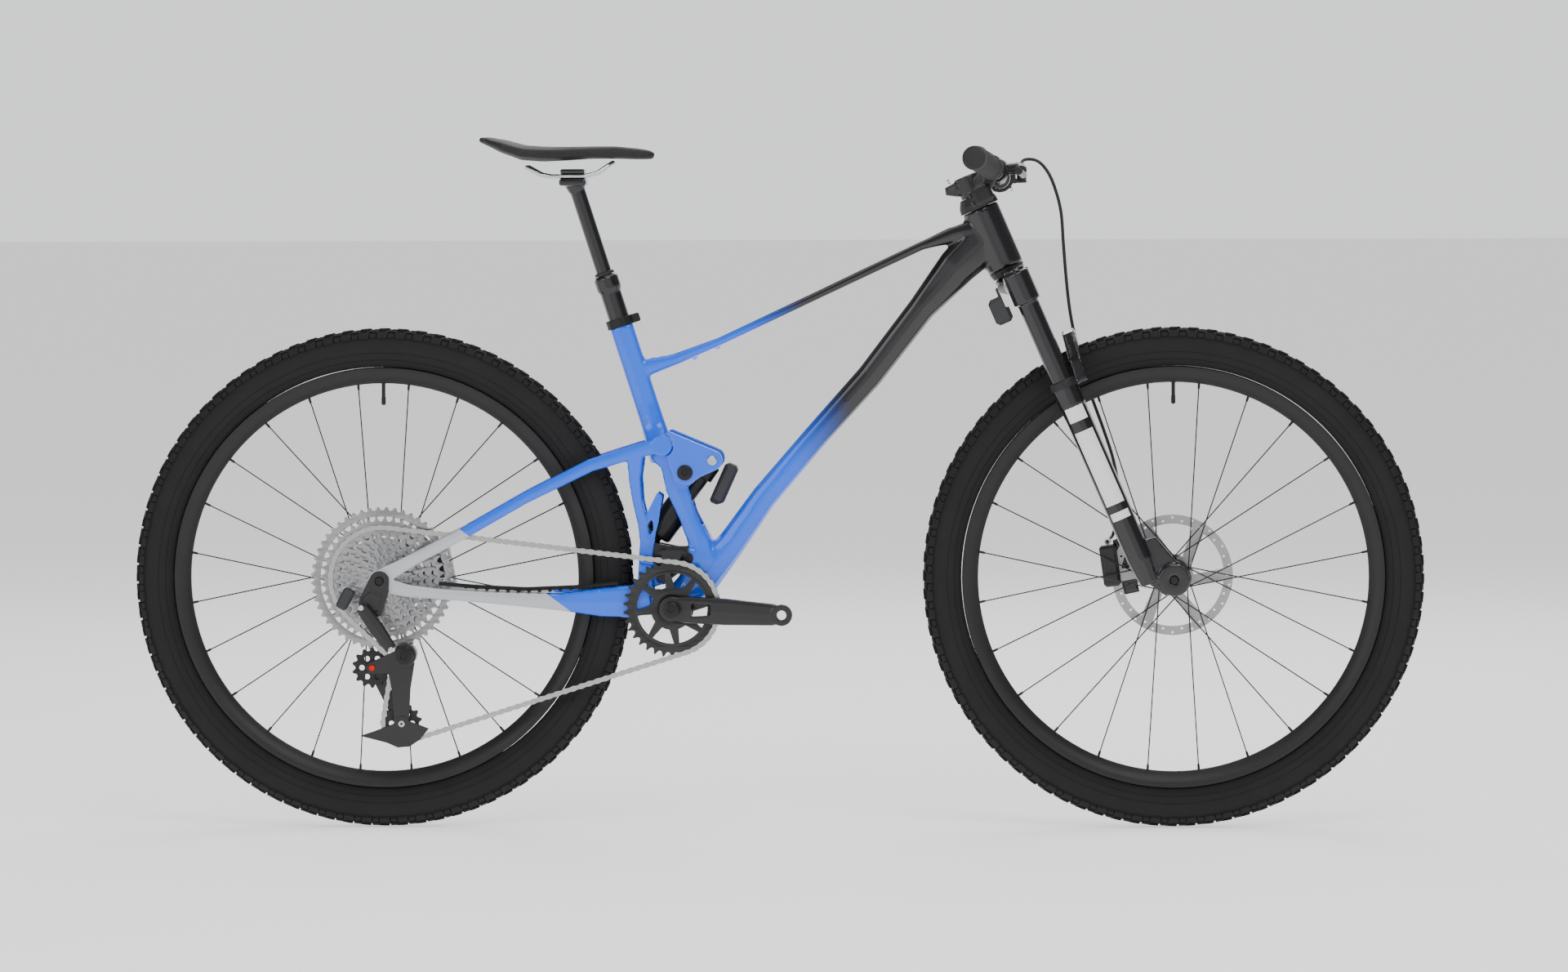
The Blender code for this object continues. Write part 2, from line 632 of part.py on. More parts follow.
def upper_fork_shape():
    pieces = [cylinder(steer(CROWN_ARCH + 2), steer(STEM_TOP - 4), STEERER_RADIUS),
              cylinder(steer(CROWN_TOP - 2), steer(CROWN_TOP + 3), 25, 22)]
    for side in (-1, 1):
        y = side * LEG_Y
        socket_foot, socket_top = steer(CROWN_BOTTOM, LEG_OFFSET, y), steer(CROWN_TOP + 4, LEG_OFFSET, y)
        pieces.append(cylinder(socket_foot, socket_top, 20.5))
        cap_foot, cap_top = steer(CROWN_TOP, LEG_OFFSET, y), steer(CROWN_TOP + 11, LEG_OFFSET, y)
        pieces.append(cylinder(cap_foot, cap_top, 17, 15))
        foot = steer(LEG_TOP - FORK_TRAVEL - 20, LEG_OFFSET, y)
        pieces.append(cylinder(foot, steer(CROWN_BOTTOM + 5, LEG_OFFSET, y), STANCHION_RADIUS))
    return union(crown_bridge(), *pieces)


upper_fork = part("fork_crown_steerer_and_stanchions", upper_fork_shape(), BLACK_GLOSS)


def stem_shape():
    bar_x, _, bar_z = BAR_ROUTE[0]
    collar_piece = cylinder(steer(STEM_BOTTOM - 3), steer(STEM_TOP - GAP), 20)
    tail = loft([(steer(652, 6), 17, 14), (steer(655, -22), 14, 11), (steer(659, -37), 11, 6)],
                squareness=3)
    neck = loft([(steer(650, 6), 19, 14), (Vector((bar_x - 14, 0, bar_z - 2)), 22, 17)], squareness=3)
    clamp = across((bar_x, bar_z), -23, 23, 21.5)
    steerer_hole = cylinder(steer(STEM_BOTTOM - 10), steer(STEM_TOP + 5), STEERER_RADIUS + GAP)
    bar_hole = across((bar_x, bar_z), -40, 40, BAR_CLAMP_RADIUS + GAP)
    cover_room = cylinder(steer(STEM_BOTTOM - 40), steer(STEM_BOTTOM), 36)
    bare = cut(union(collar_piece, tail, neck, clamp), steerer_hole, bar_hole, cover_room)
    cap = turned([(0, 0), (19, 0), (18, 4), (0, 4.5)], steer(STEM_TOP - 3.5), AXIS_UP)
    return union(bare, cap)


stem = part("stem", stem_shape(), BLACK_SATIN)


bar_end = Vector(BAR_ROUTE[-1])
bar_line = (bar_end - Vector(BAR_ROUTE[-2])).normalized()


def bar_points():
    right = smooth_route(BAR_ROUTE[:-1], 3) + [bar_end]
    left = [Vector((p.x, -p.y, p.z)) for p in right[1:]]
    return left[::-1] + right


def handlebar_shape():
    bar_x, _, bar_z = BAR_ROUTE[0]
    return union(tube(bar_points(), BAR_RADIUS, 2), across((bar_x, bar_z), -34, 34, BAR_CLAMP_RADIUS))


handlebar = part("handlebar", handlebar_shape(), BLACK_SATIN)


def on_bar(side, inward, down=0.0, front=0.0):
    """A point on the grip part of the bar, this far inward from its end."""
    p = bar_end - bar_line * inward + Vector((front, 0, -down))
    return Vector((p.x, p.y * -side, p.z))


def bar_direction(side):
    return Vector((bar_line.x, bar_line.y * -side, bar_line.z))


def grip_shape(side):
    """side is -1 for the right grip and 1 for the left one."""
    out = bar_direction(side)
    inner_end = on_bar(side, GRIP_LENGTH - 4)
    sleeve = turned(
        [(0, 0), (16.5, 0), (17.5, 2), (17.5, 11), (15.2, 13), (GRIP_RADIUS, 40),
         (GRIP_RADIUS, GRIP_LENGTH - 16), (17.5, GRIP_LENGTH - 10), (16.5, GRIP_LENGTH - 1),
         (14, GRIP_LENGTH), (0, GRIP_LENGTH)],
        inner_end, out)
    bore = cylinder(on_bar(side, GRIP_LENGTH + 20), on_bar(side, -1), BAR_RADIUS + GAP)
    return cut(sleeve, bore)


SIDE_NAMES = {-1: "right", 1: "left"}
grips = {side: part(f"grip_{name}", grip_shape(side), RUBBER) for side, name in SIDE_NAMES.items()}


def lever_pivot(side):
    return on_bar(side, 178, 5, 34)


def brake_body_shape(side):
    """The bar clamp, the master cylinder in front of the bar and the lever's pivot ears."""
    out = bar_direction(side)
    centre = on_bar(side, 166)
    clamp = cylinder(centre - out * 7, centre + out * 7, 17.5)
    pivot = lever_pivot(side)
    neck = cylinder(centre + Vector((8, 0, 1)), centre + Vector((30, side * -12, 4)), 9, 8, sides=12)
    reservoir = cylinder(pivot + Vector((-3, -side * 62, 9)), pivot + Vector((-1, side * 10, 6)), 9.5, 8.5,
                         sides=16)
    ears = cylinder(pivot + Vector((0, 0, -11)), pivot + Vector((0, 0, 12)), 7.5, sides=12)
    slot = block(pivot + Vector((8.5, 0, -1)), (34, 46, 11.5))
    hole = cylinder(on_bar(side, 200), on_bar(side, 130), BAR_RADIUS + GAP)
    web = block(pivot + Vector((-11, 0, -2)), (4.5, 13, 20))
    base = block(pivot + Vector((-6, 0, -9.2)), (14, 13, 4))
    return union(cut(union(clamp, neck, reservoir, ears), slot, hole), web, base)


def brake_blade_shape(side):
    pivot = lever_pivot(side) + Vector((0, 0, -1))
    tip = on_bar(side, 62, 12, 52)
    mid = pivot.lerp(tip, 0.5) + Vector((4, 0, -2))
    blade = loft([(pivot + Vector((0, -side * 3, 0)), 5, 5), (mid, 5, 5), (tip, 5.5, 5.5)], sides=10)
    hub = cylinder(pivot + Vector((0, 0, -5)), pivot + Vector((0, 0, 5)), 7, sides=12)
    return union(blade, hub)


brake_bodies, brake_blades = {}, {}
for side, name in SIDE_NAMES.items():
    brake_bodies[side] = part(f"brake_lever_body_{name}", brake_body_shape(side), BLACK_SATIN)
    brake_blades[side] = part(f"brake_lever_blade_{name}", brake_blade_shape(side), BLACK_SATIN)


# The shifter pod hangs under the right of the bar on its own clamp, with two buttons facing the rider.
POD_PLACE = on_bar(-1, 143, 37, -16)
POD_LEAN = math.radians(-24)
BUTTON_PLACE = 6.5  # each button's middle from the middle of the pod
BUTTON_STROKE = 2.0


def shifter_shape():
    out = bar_direction(-1)
    centre = on_bar(-1, 143)
    clamp = cylinder(centre - out * 5, centre + out * 5, 16)
    strut = cylinder(centre + Vector((-2, 0, -12)), POD_PLACE + Vector((6, 0, 12)), 7, 8, sides=12)
    pod = block(POD_PLACE, (30, 36, 26), 5, POD_LEAN)
    hole = cylinder(on_bar(-1, 200), on_bar(-1, 100), BAR_RADIUS + GAP)
    pockets = [block(pod_point(side * BUTTON_PLACE, 0, -BUTTON_STROKE), (6, 25, 10), 0, POD_LEAN)
               for side in (-1, 1)]
    return cut(union(clamp, strut, pod), hole, *pockets)


def pod_point(along, y, out):
    """A point on the pod: along its face downwards, sideways, and out from its rear face."""
    face = Vector((-math.cos(POD_LEAN), 0, math.sin(POD_LEAN)))
    down = Vector((-math.sin(POD_LEAN), 0, -math.cos(POD_LEAN)))
    return POD_PLACE + face * (15 + out) + down * along + Vector((0, y, 0))


def button_shape(along):
    return block(pod_point(along, 0, 2.4), (4.8, 24, 9), 1.5, POD_LEAN)


shifter = part("shifter_pod", shifter_shape(), BLACK_SATIN)
upper_button = part("shift_button_upper", button_shape(-BUTTON_PLACE), BLACK_SATIN)
lower_button = part("shift_button_lower", button_shape(BUTTON_PLACE), BLACK_SATIN)


# The dropper remote sits under the left of the bar; its paddle swings about an upright pin.
REMOTE_PIVOT = on_bar(1, 143, 25, -4)


def remote_shape():
    out = bar_direction(1)
    centre = on_bar(1, 143)
    clamp = cylinder(centre - out * 5, centre + out * 5, 16)
    strut = block(REMOTE_PIVOT + Vector((0, 0, 7.5)), (15, 24, 7.5), 1.5)
    hole = cylinder(on_bar(1, 200), on_bar(1, 100), BAR_RADIUS + GAP)
    pin = cylinder(REMOTE_PIVOT + Vector((0, 0, -6)), REMOTE_PIVOT + Vector((0, 0, 8)), 3, sides=10)
    return union(cut(union(clamp, strut), hole), pin)


def paddle_shape():
    hub = cylinder(REMOTE_PIVOT + Vector((0, 0, -5)), REMOTE_PIVOT + Vector((0, 0, 3)), 8, sides=16)
    arm = block(REMOTE_PIVOT + Vector((-17, 8, -1)), (26, 14, 5), 1.2, 0, math.radians(-18))
    bore = cylinder(REMOTE_PIVOT + Vector((0, 0, -20)), REMOTE_PIVOT + Vector((0, 0, 20)), 3 + GAP,
                    sides=12)
    return cut(union(hub, arm), bore)


remote = part("dropper_remote_body", remote_shape(), BLACK_SATIN)
paddle = part("dropper_remote_lever", paddle_shape(), BLACK_SATIN)


def fork_module_shape():
    """The electronic damper control, hung behind the crown by its bracket."""
    box = block(steer(466, -32, -50), (27, 34, 40), 5, HEAD_ANGLE - math.pi / 2)
    bracket = block(steer(492, -20, -52), (14, 18, 14), 2, HEAD_ANGLE - math.pi / 2)
    return union(box, bracket)


def fork_crown_gap():
    return [cylinder(steer(440, LEG_OFFSET, -LEG_Y), steer(530, LEG_OFFSET, -LEG_Y), 21.5)]


def crown_clearance():
    """The crown's space, grown a little, to trim the module to it."""
    return block(steer(487, 3, -42), (52, 60, 40), 0, HEAD_ANGLE - math.pi / 2)


fork_module = part("fork_control_module", cut(fork_module_shape(), *fork_crown_gap(), crown_clearance()),
                   BLACK_SATIN)

# Front brake hose: from the left lever round the front of the head tube to the caliper.
HOSE_RADIUS = 2.5
lever_port = lever_pivot(1) + Vector((-2, -66, 8))
HOSE_ROUTE = [
    tuple(lever_port), (366, 96, 990), (384, 70, 990), (398, 50, 978), (410, 44, 955), (421, 48, 915),
    (425, 56, 865), (429, 62, 815), (434, 66, 770), (441, 72, 732), (452, 82, 690), (466, 89, 640),
    (484, 92, 590), (500, 93, 540), (508, 93, 490), (505, 91, 452), (499, 83, 430), (493, 66, 424),
    (490, 52, 421.5),
]


def fork_lowers_shape():
    pieces = []
    for side in (-1, 1):
        y = side * LEG_Y
        length = LEG_TOP - LEG_BOTTOM
        profile = [(0, 0), (15, 0), (LEG_RADIUS, 38), (LEG_RADIUS, length - 36), (20.5, length - 32),
                   (20, length), (0, length)]
        pieces.append(turned(profile, steer(LEG_BOTTOM, LEG_OFFSET, y), AXIS_UP))
        inner, outer = side * (HALF_FRONT + GAP), side * (HALF_FRONT + 21)
        pieces.append(across(FRONT_AXLE, inner, outer, 24))
        foot = [(FRONT_AXLE[0] + x, FRONT_AXLE[1] + z) for x, z in
                ((6, 24), (-28, 64), (-48, 58), (-62, 28), (-46, 0), (-12, -24))]
        pieces.append(plate(foot, side * (HALF_FRONT + 3), side * (HALF_FRONT + 17)))
    arch = []
    for i in range(9):
        angle = math.pi * i / 8
        rise, reach = 322 + 72 * math.sin(angle) ** 0.8, 36.2 + 10 * math.sin(angle)
        arch.append(steer(rise, reach, LEG_Y * math.cos(angle)))
    pieces.append(arch_loft(arch))
    lowers = union(*pieces)
    tools = []
    for side in (-1, 1):
        y = side * LEG_Y
        start = steer(LEG_TOP - 2 * FORK_TRAVEL - 25, LEG_OFFSET, y)
        tools.append(cylinder(start, steer(LEG_TOP + 20, LEG_OFFSET, y), STANCHION_RADIUS + GAP))
    tools.append(across(FRONT_AXLE, -100, 100, AXLE_RADIUS + GAP))
    post_mount = block((518, 68.7, 384), (24, 14.6, 84), 0, math.radians(-12))
    return cut(union(lowers, post_mount), *tools, rotor_space())


def arch_loft(points):
    """The fork's arch, a bar that rises from one lower leg to the other in front of the tyre."""
    bm = bmesh.new()
    rings = []
    for i, p in enumerate(points):
        before, after = points[max(i - 1, 0)], points[min(i + 1, len(points) - 1)]
        tangent = (after - before).normalized()
        up = AXIS_FRONT.cross(tangent).normalized()
        corners = [(-9, -6), (9, -6), (10, 0), (9, 6), (-9, 6), (-10, 0)]
        rings.append([bm.verts.new((p + AXIS_FRONT * a + up * b) * MM) for a, b in corners])
    for a, b in zip(rings, rings[1:]):
        for k in range(len(a)):
            j = (k + 1) % len(a)
            bm.faces.new((a[k], a[j], b[j], b[k]))
    bm.faces.new(rings[0][::-1])
    bm.faces.new(rings[-1])
    bmesh.ops.recalc_face_normals(bm, faces=bm.faces)
    return from_bmesh(bm)


def rotor_space():
    """The swept space of the front rotor and hub end, with room to turn."""
    return across(FRONT_AXLE, FRONT_ROTOR_Y - 8, FRONT_ROTOR_Y + 4, FRONT_ROTOR_RADIUS + 4, sides=32)


lowers = part("fork_lowers", fork_lowers_shape(), BLACK_GLOSS)
front_axle = part("front_thru_axle", union(
    across(FRONT_AXLE, -HALF_FRONT - 22, HALF_FRONT + 22, AXLE_RADIUS),
    across(FRONT_AXLE, HALF_FRONT + 21 + GAP, HALF_FRONT + 25, 9)), BLACK_SATIN)


def caliper_shape(centre, rotor_y, lean, length, width=30):
    """A two-piston caliper that straddles a rotor."""
    spine = math.copysign(9, lean * centre[0])
    halves = block(centre, (26, width, length), 4, lean)
    slot = block((centre[0], rotor_y, centre[2]), (60, 4.4, length + 20), 0, lean)
    bridge = block((centre[0] + spine, rotor_y, centre[2]), (7, width - 6, length - 24), 1, lean)
    return union(cut(halves, slot), bridge)


front_caliper = part("front_brake_caliper", cut(
    caliper_shape((494, FRONT_ROTOR_Y, 386), FRONT_ROTOR_Y, math.radians(-8), 62),
    across(FRONT_AXLE, FRONT_ROTOR_Y - 2.2, FRONT_ROTOR_Y + 2.2, FRONT_ROTOR_RADIUS + 2, sides=32)),
    BLACK_SATIN)
hose = part("front_brake_hose", tube(smooth_route(HOSE_ROUTE, 2), HOSE_RADIUS, 2), RUBBER)

steering = body("steering", steer(HEAD_TUBE_TOP), [
    upper_fork, stem, handlebar, *grips.values(), *brake_bodies.values(), shifter, remote, fork_module,
    hose], frame_body)
for side, name in SIDE_NAMES.items():
    body(f"brake_lever_pivot_{name}", lever_pivot(side), [brake_blades[side]], steering)
body("upper_button_travel", pod_point(-BUTTON_PLACE, 0, 0), [upper_button], steering)
body("lower_button_travel", pod_point(BUTTON_PLACE, 0, 0), [lower_button], steering)
body("dropper_lever_pivot", REMOTE_PIVOT, [paddle], steering)
fork_slide = body("fork_travel", steer(0), [lowers, front_axle, front_caliper], steering)
body("front_wheel_axle", on_x_z(FRONT_AXLE, 0), front_wheel, fork_slide)


# ---------------------------------------------------------------- rear suspension
def mirrored_plates(outline, inner, outer, holes=()):
    return [plate(outline, side * inner, side * outer, holes) for side in (-1, 1)]


def rocker_shape():
    seam = arc(STAY_PIVOT, 18.0, 78, -66, 8)
    around_pivot = arc(ROCKER_PIVOT, 19, 185, 318, 7)
    around_shock = arc(SHOCK_TOP, 15.5, -68, 76, 7)
    outline = [*seam, *around_pivot, (-112, 524), *around_shock, (-158, 591)]
    cheeks = mirrored_plates(outline, ROCKER_INNER_Y, ROCKER_OUTER_Y, [circle(ROCKER_PIVOT, 9 + GAP, 20)])
    return union(*cheeks, across(SHOCK_TOP, -ROCKER_INNER_Y - 2, ROCKER_INNER_Y + 2, 6, sides=16))


def lower_link_shape():
    outline = [*arc(SHOCK_BOTTOM, 10.5, 60, 215, 6), *arc(YOKE_PIVOT, 10.5, 205, 330, 5),
               *arc(LINK_PIVOT, 11.5, -60, 75, 5)]
    cheeks = mirrored_plates(outline, 12.5, 23.5, [circle(LINK_PIVOT, 6 + GAP, 16)])
    sleeve = across(YOKE_PIVOT, -23, 23, 6, sides=16)
    pin = across(SHOCK_BOTTOM, -14, 14, 3.5, sides=12)
    return union(*cheeks, sleeve, pin)


shock_line = Vector((SHOCK_BOTTOM[0] - SHOCK_TOP[0], 0, SHOCK_BOTTOM[1] - SHOCK_TOP[1]))
SHOCK_LENGTH = shock_line.length
shock_line.normalize()


def on_shock(t, n=0.0, y=0.0):
    """A point t down the shock from its top eye, and n towards its rear."""
    rear = Vector((shock_line.z, 0, -shock_line.x))
    return Vector(on_x_z(SHOCK_TOP, y)) + shock_line * t + rear * n


HEAD_END = 31.0
CAN_START = HEAD_END + SHOCK_STROKE + 2.0
CAN_END = SHOCK_LENGTH - 22.0


def shock_body_shape():
    eye = across(SHOCK_TOP, -24, 24, 12, sides=20)
    head = cylinder(on_shock(8), on_shock(HEAD_END), 17, 18)
    damper = cylinder(on_shock(HEAD_END - 2), on_shock(CAN_END - 8 - SHOCK_STROKE + 1), SHOCK_TUBE_RADIUS)
    rod = cylinder(on_shock(HEAD_END), on_shock(CAN_END - 6 - SHOCK_STROKE), 6, sides=12)
    bore = across(SHOCK_TOP, -30, 30, 6 + GAP, sides=20)
    return cut(union(eye, head, damper, rod), bore)


def air_can_shape():
    length = CAN_END - CAN_START
    can = turned([(0, 0), (AIR_CAN_RADIUS - 2, 0), (AIR_CAN_RADIUS, 4), (AIR_CAN_RADIUS, length - 4),
                  (AIR_CAN_RADIUS - 3, length), (0, length)], on_shock(CAN_START), shock_line)
    neck = cylinder(on_shock(CAN_END - 4), on_shock(SHOCK_LENGTH - 2), 9, sides=16)
    eye = across(SHOCK_BOTTOM, -11.5, 11.5, 9.8, sides=20)
    bore = cylinder(on_shock(CAN_START - 20), on_shock(CAN_END - 4), SHOCK_TUBE_RADIUS + GAP)
    relief = across(SHOCK_BOTTOM, -30, 30, 6.4, sides=16)
    return cut(union(can, neck, eye), bore, relief)


def shock_module_shape():
    """The electronic control on the front of the shock's head."""
    case = block((-79, 0, 512), (21, 38, 62), 5, math.radians(24))
    tip = block((-92, 0, 489), (16, 24, 15), 3, math.radians(24))
    head_room, eye_room = cylinder(on_shock(-14), on_shock(60), 18.6), across(SHOCK_TOP, -60, 60, 17)
    return cut(union(case, tip), head_room, eye_room)


rocker = part("rocker_link", rocker_shape(), BLUE)
lower_link = part("lower_link", lower_link_shape(), BLACK_SATIN)
shock_body = part("shock_body", shock_body_shape(), BLACK_SATIN)
shock_module = part("shock_control_module", shock_module_shape(), BLACK_SATIN)
air_can = part("shock_air_can", air_can_shape(), BLACK_SATIN)


# ---------------------------------------------------------------- swingarm
def stay_route(side, points):
    return [((x, side * y, z), wide, tall) for x, y, z, wide, tall in points]


def swingarm_shape():
    pieces = []
    for side in (-1, 1):
        pieces.append(loft(stay_route(side, [
            (-188, 41, 344, 6, 24), (-215, 41, 339, 6, 25), (-262, 41.5, 338, 6, 22),
            (-325, 46, 339, 6.5, 13.5), (-422, 57, 346, 6.5, 10), (-505, 68, 352.5, 6.5, 8.5),
            (-545, 76.6, 357, 3.6, 10), (-574, 77, 364, 2.3, 12),
        ]), sides=8, squareness=3))
        pieces.append(loft(stay_route(side, [
            (-178, 45.2, 569, 4.8, 12), (-204, 45.2, 563, 5, 11), (-276, 47, 541, 6, 10),
            (-373, 53, 493, 6, 9), (-466, 61, 440, 6, 9), (-530, 72, 407, 5.5, 9.5),
            (-560, 76.8, 391, 3.1, 11), (-580, 77.2, 380, 2.1, 13),
        ]), sides=8, squareness=3))
        pieces.append(across(STAY_PIVOT, side * ROCKER_INNER_Y, side * ROCKER_OUTER_Y, 16))
        pieces.append(across(REAR_AXLE, side * (HALF_REAR + GAP), side * (HALF_REAR + 6), 17))
        pieces.append(loft([
            ((-210, side * 45, 560), 4.5, 13), ((-211, side * 42, 520), 4, 9),
            ((-207, side * 36, 485), 4, 7.5), ((-200, side * 28, 455), 3.5, 8),
            ((-196, side * 27, 425), 3, 8),
        ], sides=8))
        upright = [(-206, 398), (-203, 445), (-197, 463), (-178, 500), (-170, 494), (-176, 455),
                   (-180, 440), (-186, 398), *arc(YOKE_PIVOT, 11, 60, -100, 6), (-204, 352)]
        window = [(-197, 442), (-186, 462), (-184, 446), (-190, 432)]
        pieces.append(plate(upright, side * 24.3, side * 29.2, [window]))
        pieces.append(plate([(-208, 347), (-185, 348), (-185, 392), (-205, 396)], side * 26.5, side * 44.5))
    pieces.append(plate([(-209.5, 338.5), (-189, 338.5), (-189, 364), (-209.5, 364)], -43, 43))
    pieces.insert(0, cylinder((-486, 69.4, 350), (-500, 67.7, 422), 3.3, sides=8))
    arm = combine(pieces[0], pieces[1:], "UNION", "MANIFOLD")
    tools = [across(REAR_AXLE, -100, 100, AXLE_RADIUS + GAP),
             across(YOKE_PIVOT, -60, 60, 6 + GAP + 1.6, sides=20),
             across(REAR_AXLE, REAR_ROTOR_Y - 3, REAR_ROTOR_Y + 3, REAR_ROTOR_RADIUS + 3, sides=32)]
    return combine(arm, tools, "DIFFERENCE", "MANIFOLD")


swingarm = part("swingarm", swingarm_shape(), BLUE)


def stay_guard_shape():
    """The ribbed rubber guard that lies on the right chainstay, under the chain."""
    route = ((-236, -41.5, 366), (-300, -43.5, 360.5), (-372, -51, 358), (-450, -60.5, 362.5),
             (-500, -67, 367.5))
    return loft([(point, 6, 3) for point in route], sides=8, squareness=3)


guard = part("chainstay_guard", stay_guard_shape(), RUBBER)
rear_axle = part("rear_thru_axle", union(
    across(REAR_AXLE, -HALF_REAR - 13, HALF_REAR + 7, AXLE_RADIUS),
    across(REAR_AXLE, HALF_REAR + 6 + GAP, HALF_REAR + 11, 10)), BLACK_SATIN)
rear_caliper = part("rear_brake_caliper", cut(
    caliper_shape((-509, REAR_ROTOR_Y, 384), REAR_ROTOR_Y, math.radians(-11), 40, 23),
    across(REAR_AXLE, REAR_ROTOR_Y - 2.2, REAR_ROTOR_Y + 2.2, REAR_ROTOR_RADIUS + 2, sides=32)),
    BLACK_SATIN)

# The derailleur hangs outside the right dropout. Its two links are equal and parallel.
HANGER_Y = -HALF_REAR - 6


def hanger_shape():
    outline = [*arc(REAR_AXLE, 15, 15, 165, 8), (-616, 347), (-618, 334), (-605, 316), (-584, 321),
               (-573, 356)]
    outer = plate(outline, HANGER_Y - GAP, HANGER_Y - 5)
    arm = plate([(-611, 348), (-600, 356), (-583, 350), (-589, 329), (-604, 323), (-612, 334)],
                HANGER_Y - 3, HANGER_Y - 7.5)
    hole = across(REAR_AXLE, -120, -60, AXLE_RADIUS + GAP)
    return cut(union(outer, arm), hole)


hanger = part("derailleur_mount", hanger_shape(), BLACK_SATIN)
battery = part("derailleur_battery", block((-637, HANGER_Y - 6, 346), (17, 22, 32), 3, math.radians(28)),
               BLACK_SATIN)


def link_shape(y):
    """One of the two parallel links, a flat bar with a pin at each end."""
    top, bottom = Vector(on_x_z(LINK_TOP, y)), Vector(on_x_z(LINK_BOTTOM, y))
    return loft([(top, 3, 9), ((top + bottom) / 2, 3, 11), (bottom, 3, 8)], sides=8, squareness=4)


outer_link = part("derailleur_outer_link", link_shape(OUTER_LINK_Y), BLACK_SATIN)
inner_link = part("derailleur_inner_link", link_shape(INNER_LINK_Y), BLACK_SATIN)


def knuckle_shape():
    """The moving knuckle: it holds the cage's pivot, inboard of the links."""
    drum = across(CAGE_PIVOT, INNER_LINK_Y + 5.5, -60, 17)
    boss = across(CAGE_PIVOT, INNER_LINK_Y + 6, INNER_LINK_Y - 12, 12)
    return cut(union(drum, boss), across(CAGE_PIVOT, -72, -50, 9))


def cage_shape():
    outer_outline = [*arc(CAGE_PIVOT, 13, -10, 150, 8), *arc(UPPER_PULLEY, 9, 100, 270, 6), (-578, 232),
                     (-573, 205), *arc(LOWER_PULLEY, 11, 170, 350, 8), (-545, 210)]
    outer = plate(outer_outline, COG_Y - 5, COG_Y - 7.5)
    guard_outline = [(-621, 139), *arc(LOWER_PULLEY, 36, 232, 318, 4), (-518, 150), (-528, 154),
                     *arc(LOWER_PULLEY, 12, 20, 180, 5), (-600, 146)]
    inner_outline = [*arc(UPPER_PULLEY, 8, 30, 210, 6), *arc(LOWER_PULLEY, 10, 206, 386, 6)]
    inner = plate(inner_outline, COG_Y + 5, COG_Y + 7)
    lower_guard = plate(guard_outline, COG_Y - 5.3, COG_Y - 7.9)
    pivot = across(CAGE_PIVOT, COG_Y - 6, -70, 8.5)
    pins = [across(UPPER_PULLEY, COG_Y - 6, COG_Y + 6, 3, sides=12),
            across(LOWER_PULLEY, COG_Y - 6, COG_Y + 6, 3, sides=12)]
    return union(outer, lower_guard, inner, pivot, *pins)


def pulley_shape(centre):
    disc = across(centre, COG_Y - 1.5, COG_Y + 1.5, pitch_radius(PULLEY_TEETH) - CHAIN_HEIGHT / 2 - 0.6,
                  sides=20)
    return cut(disc, across(centre, COG_Y - 5, COG_Y + 5, 3 + GAP, sides=16))


knuckle = part("derailleur_knuckle", knuckle_shape(), BLACK_SATIN)
cage = part("derailleur_cage", cage_shape(), BLACK_SATIN)
upper_pulley = part("upper_pulley", pulley_shape(UPPER_PULLEY), BLACK_SATIN)
lower_pulley = part("lower_pulley", pulley_shape(LOWER_PULLEY), BLACK_SATIN)


# ---------------------------------------------------------------- cassette, crankset and chain
def cassette_shape():
    """The stepped cluster of cogs; the cog under the chain stays below the chain."""
    profile = [(19, FIRST_COG_Y + COG_THICKNESS / 2)]
    chain_floor = pitch_radius(COG_TEETH[CHAIN_COG]) - CHAIN_HEIGHT / 2 - 0.8
    for k, teeth in enumerate(COG_TEETH):
        y = FIRST_COG_Y - COG_SPACING * k
        radius = chain_floor if k == CHAIN_COG else pitch_radius(teeth) + 2
        if k:
            face = y + COG_SPACING - COG_THICKNESS / 2
            profile.append((profile[-1][0], face))
            profile.append((radius, face))
        else:
            profile.append((radius, y + COG_THICKNESS / 2))
    profile.append((profile[-1][0], y - COG_THICKNESS / 2))
    profile.append((14 + GAP, y - COG_THICKNESS / 2))
    profile.append((14 + GAP, -27))
    profile.append((19, -27))
    return turned([(r, -h) for r, h in profile], on_x_z(REAR_AXLE, 0), along=(0, -1, 0), steps=18)


cassette = part("cassette", cassette_shape(), STEEL)
CRANK_DIRECTION = Vector((math.cos(CRANK_DROP), 0, -math.sin(CRANK_DROP)))


def along_crank(side, distance, y):
    """A point on the crank arm's middle line; the right arm (side -1) points forward."""
    return Vector(on_x_z(CRANK_AXLE, side * y)) - CRANK_DIRECTION * distance * side


def crank_arm(side):
    arm = loft([(along_crank(side, -6, 63), 6.5, 17), (along_crank(side, 20, 65), 7, 20),
                (along_crank(side, 80, 70), 7, 20), (along_crank(side, 150, 77), 7, 16.5),
                (along_crank(side, CRANK_LENGTH + 10, 78), 6, 11)], sides=12, squareness=4)
    axle_end = across(CRANK_AXLE, side * 52, side * 70, 19)
    pedal_end = across((along_crank(side, CRANK_LENGTH, 0).x, along_crank(side, CRANK_LENGTH, 0).z),
                       side * 71, side * 84.5, 16)
    pedal_hole = across((along_crank(side, CRANK_LENGTH, 0).x, along_crank(side, CRANK_LENGTH, 0).z),
                        side * 60, side * 95, 7.1, sides=20)
    return arm, axle_end, pedal_end, pedal_hole


def right_crank_shape():
    arm, axle_end, pedal_end, pedal_hole = crank_arm(-1)
    spindle = across(CRANK_AXLE, -66, 66, SPINDLE_RADIUS)
    window = plate([(-126, 318), (-98, 320), (-98, 337), (-126, 338)], -50, -90)
    return cut(union(arm, axle_end, pedal_end, spindle), pedal_hole, window)


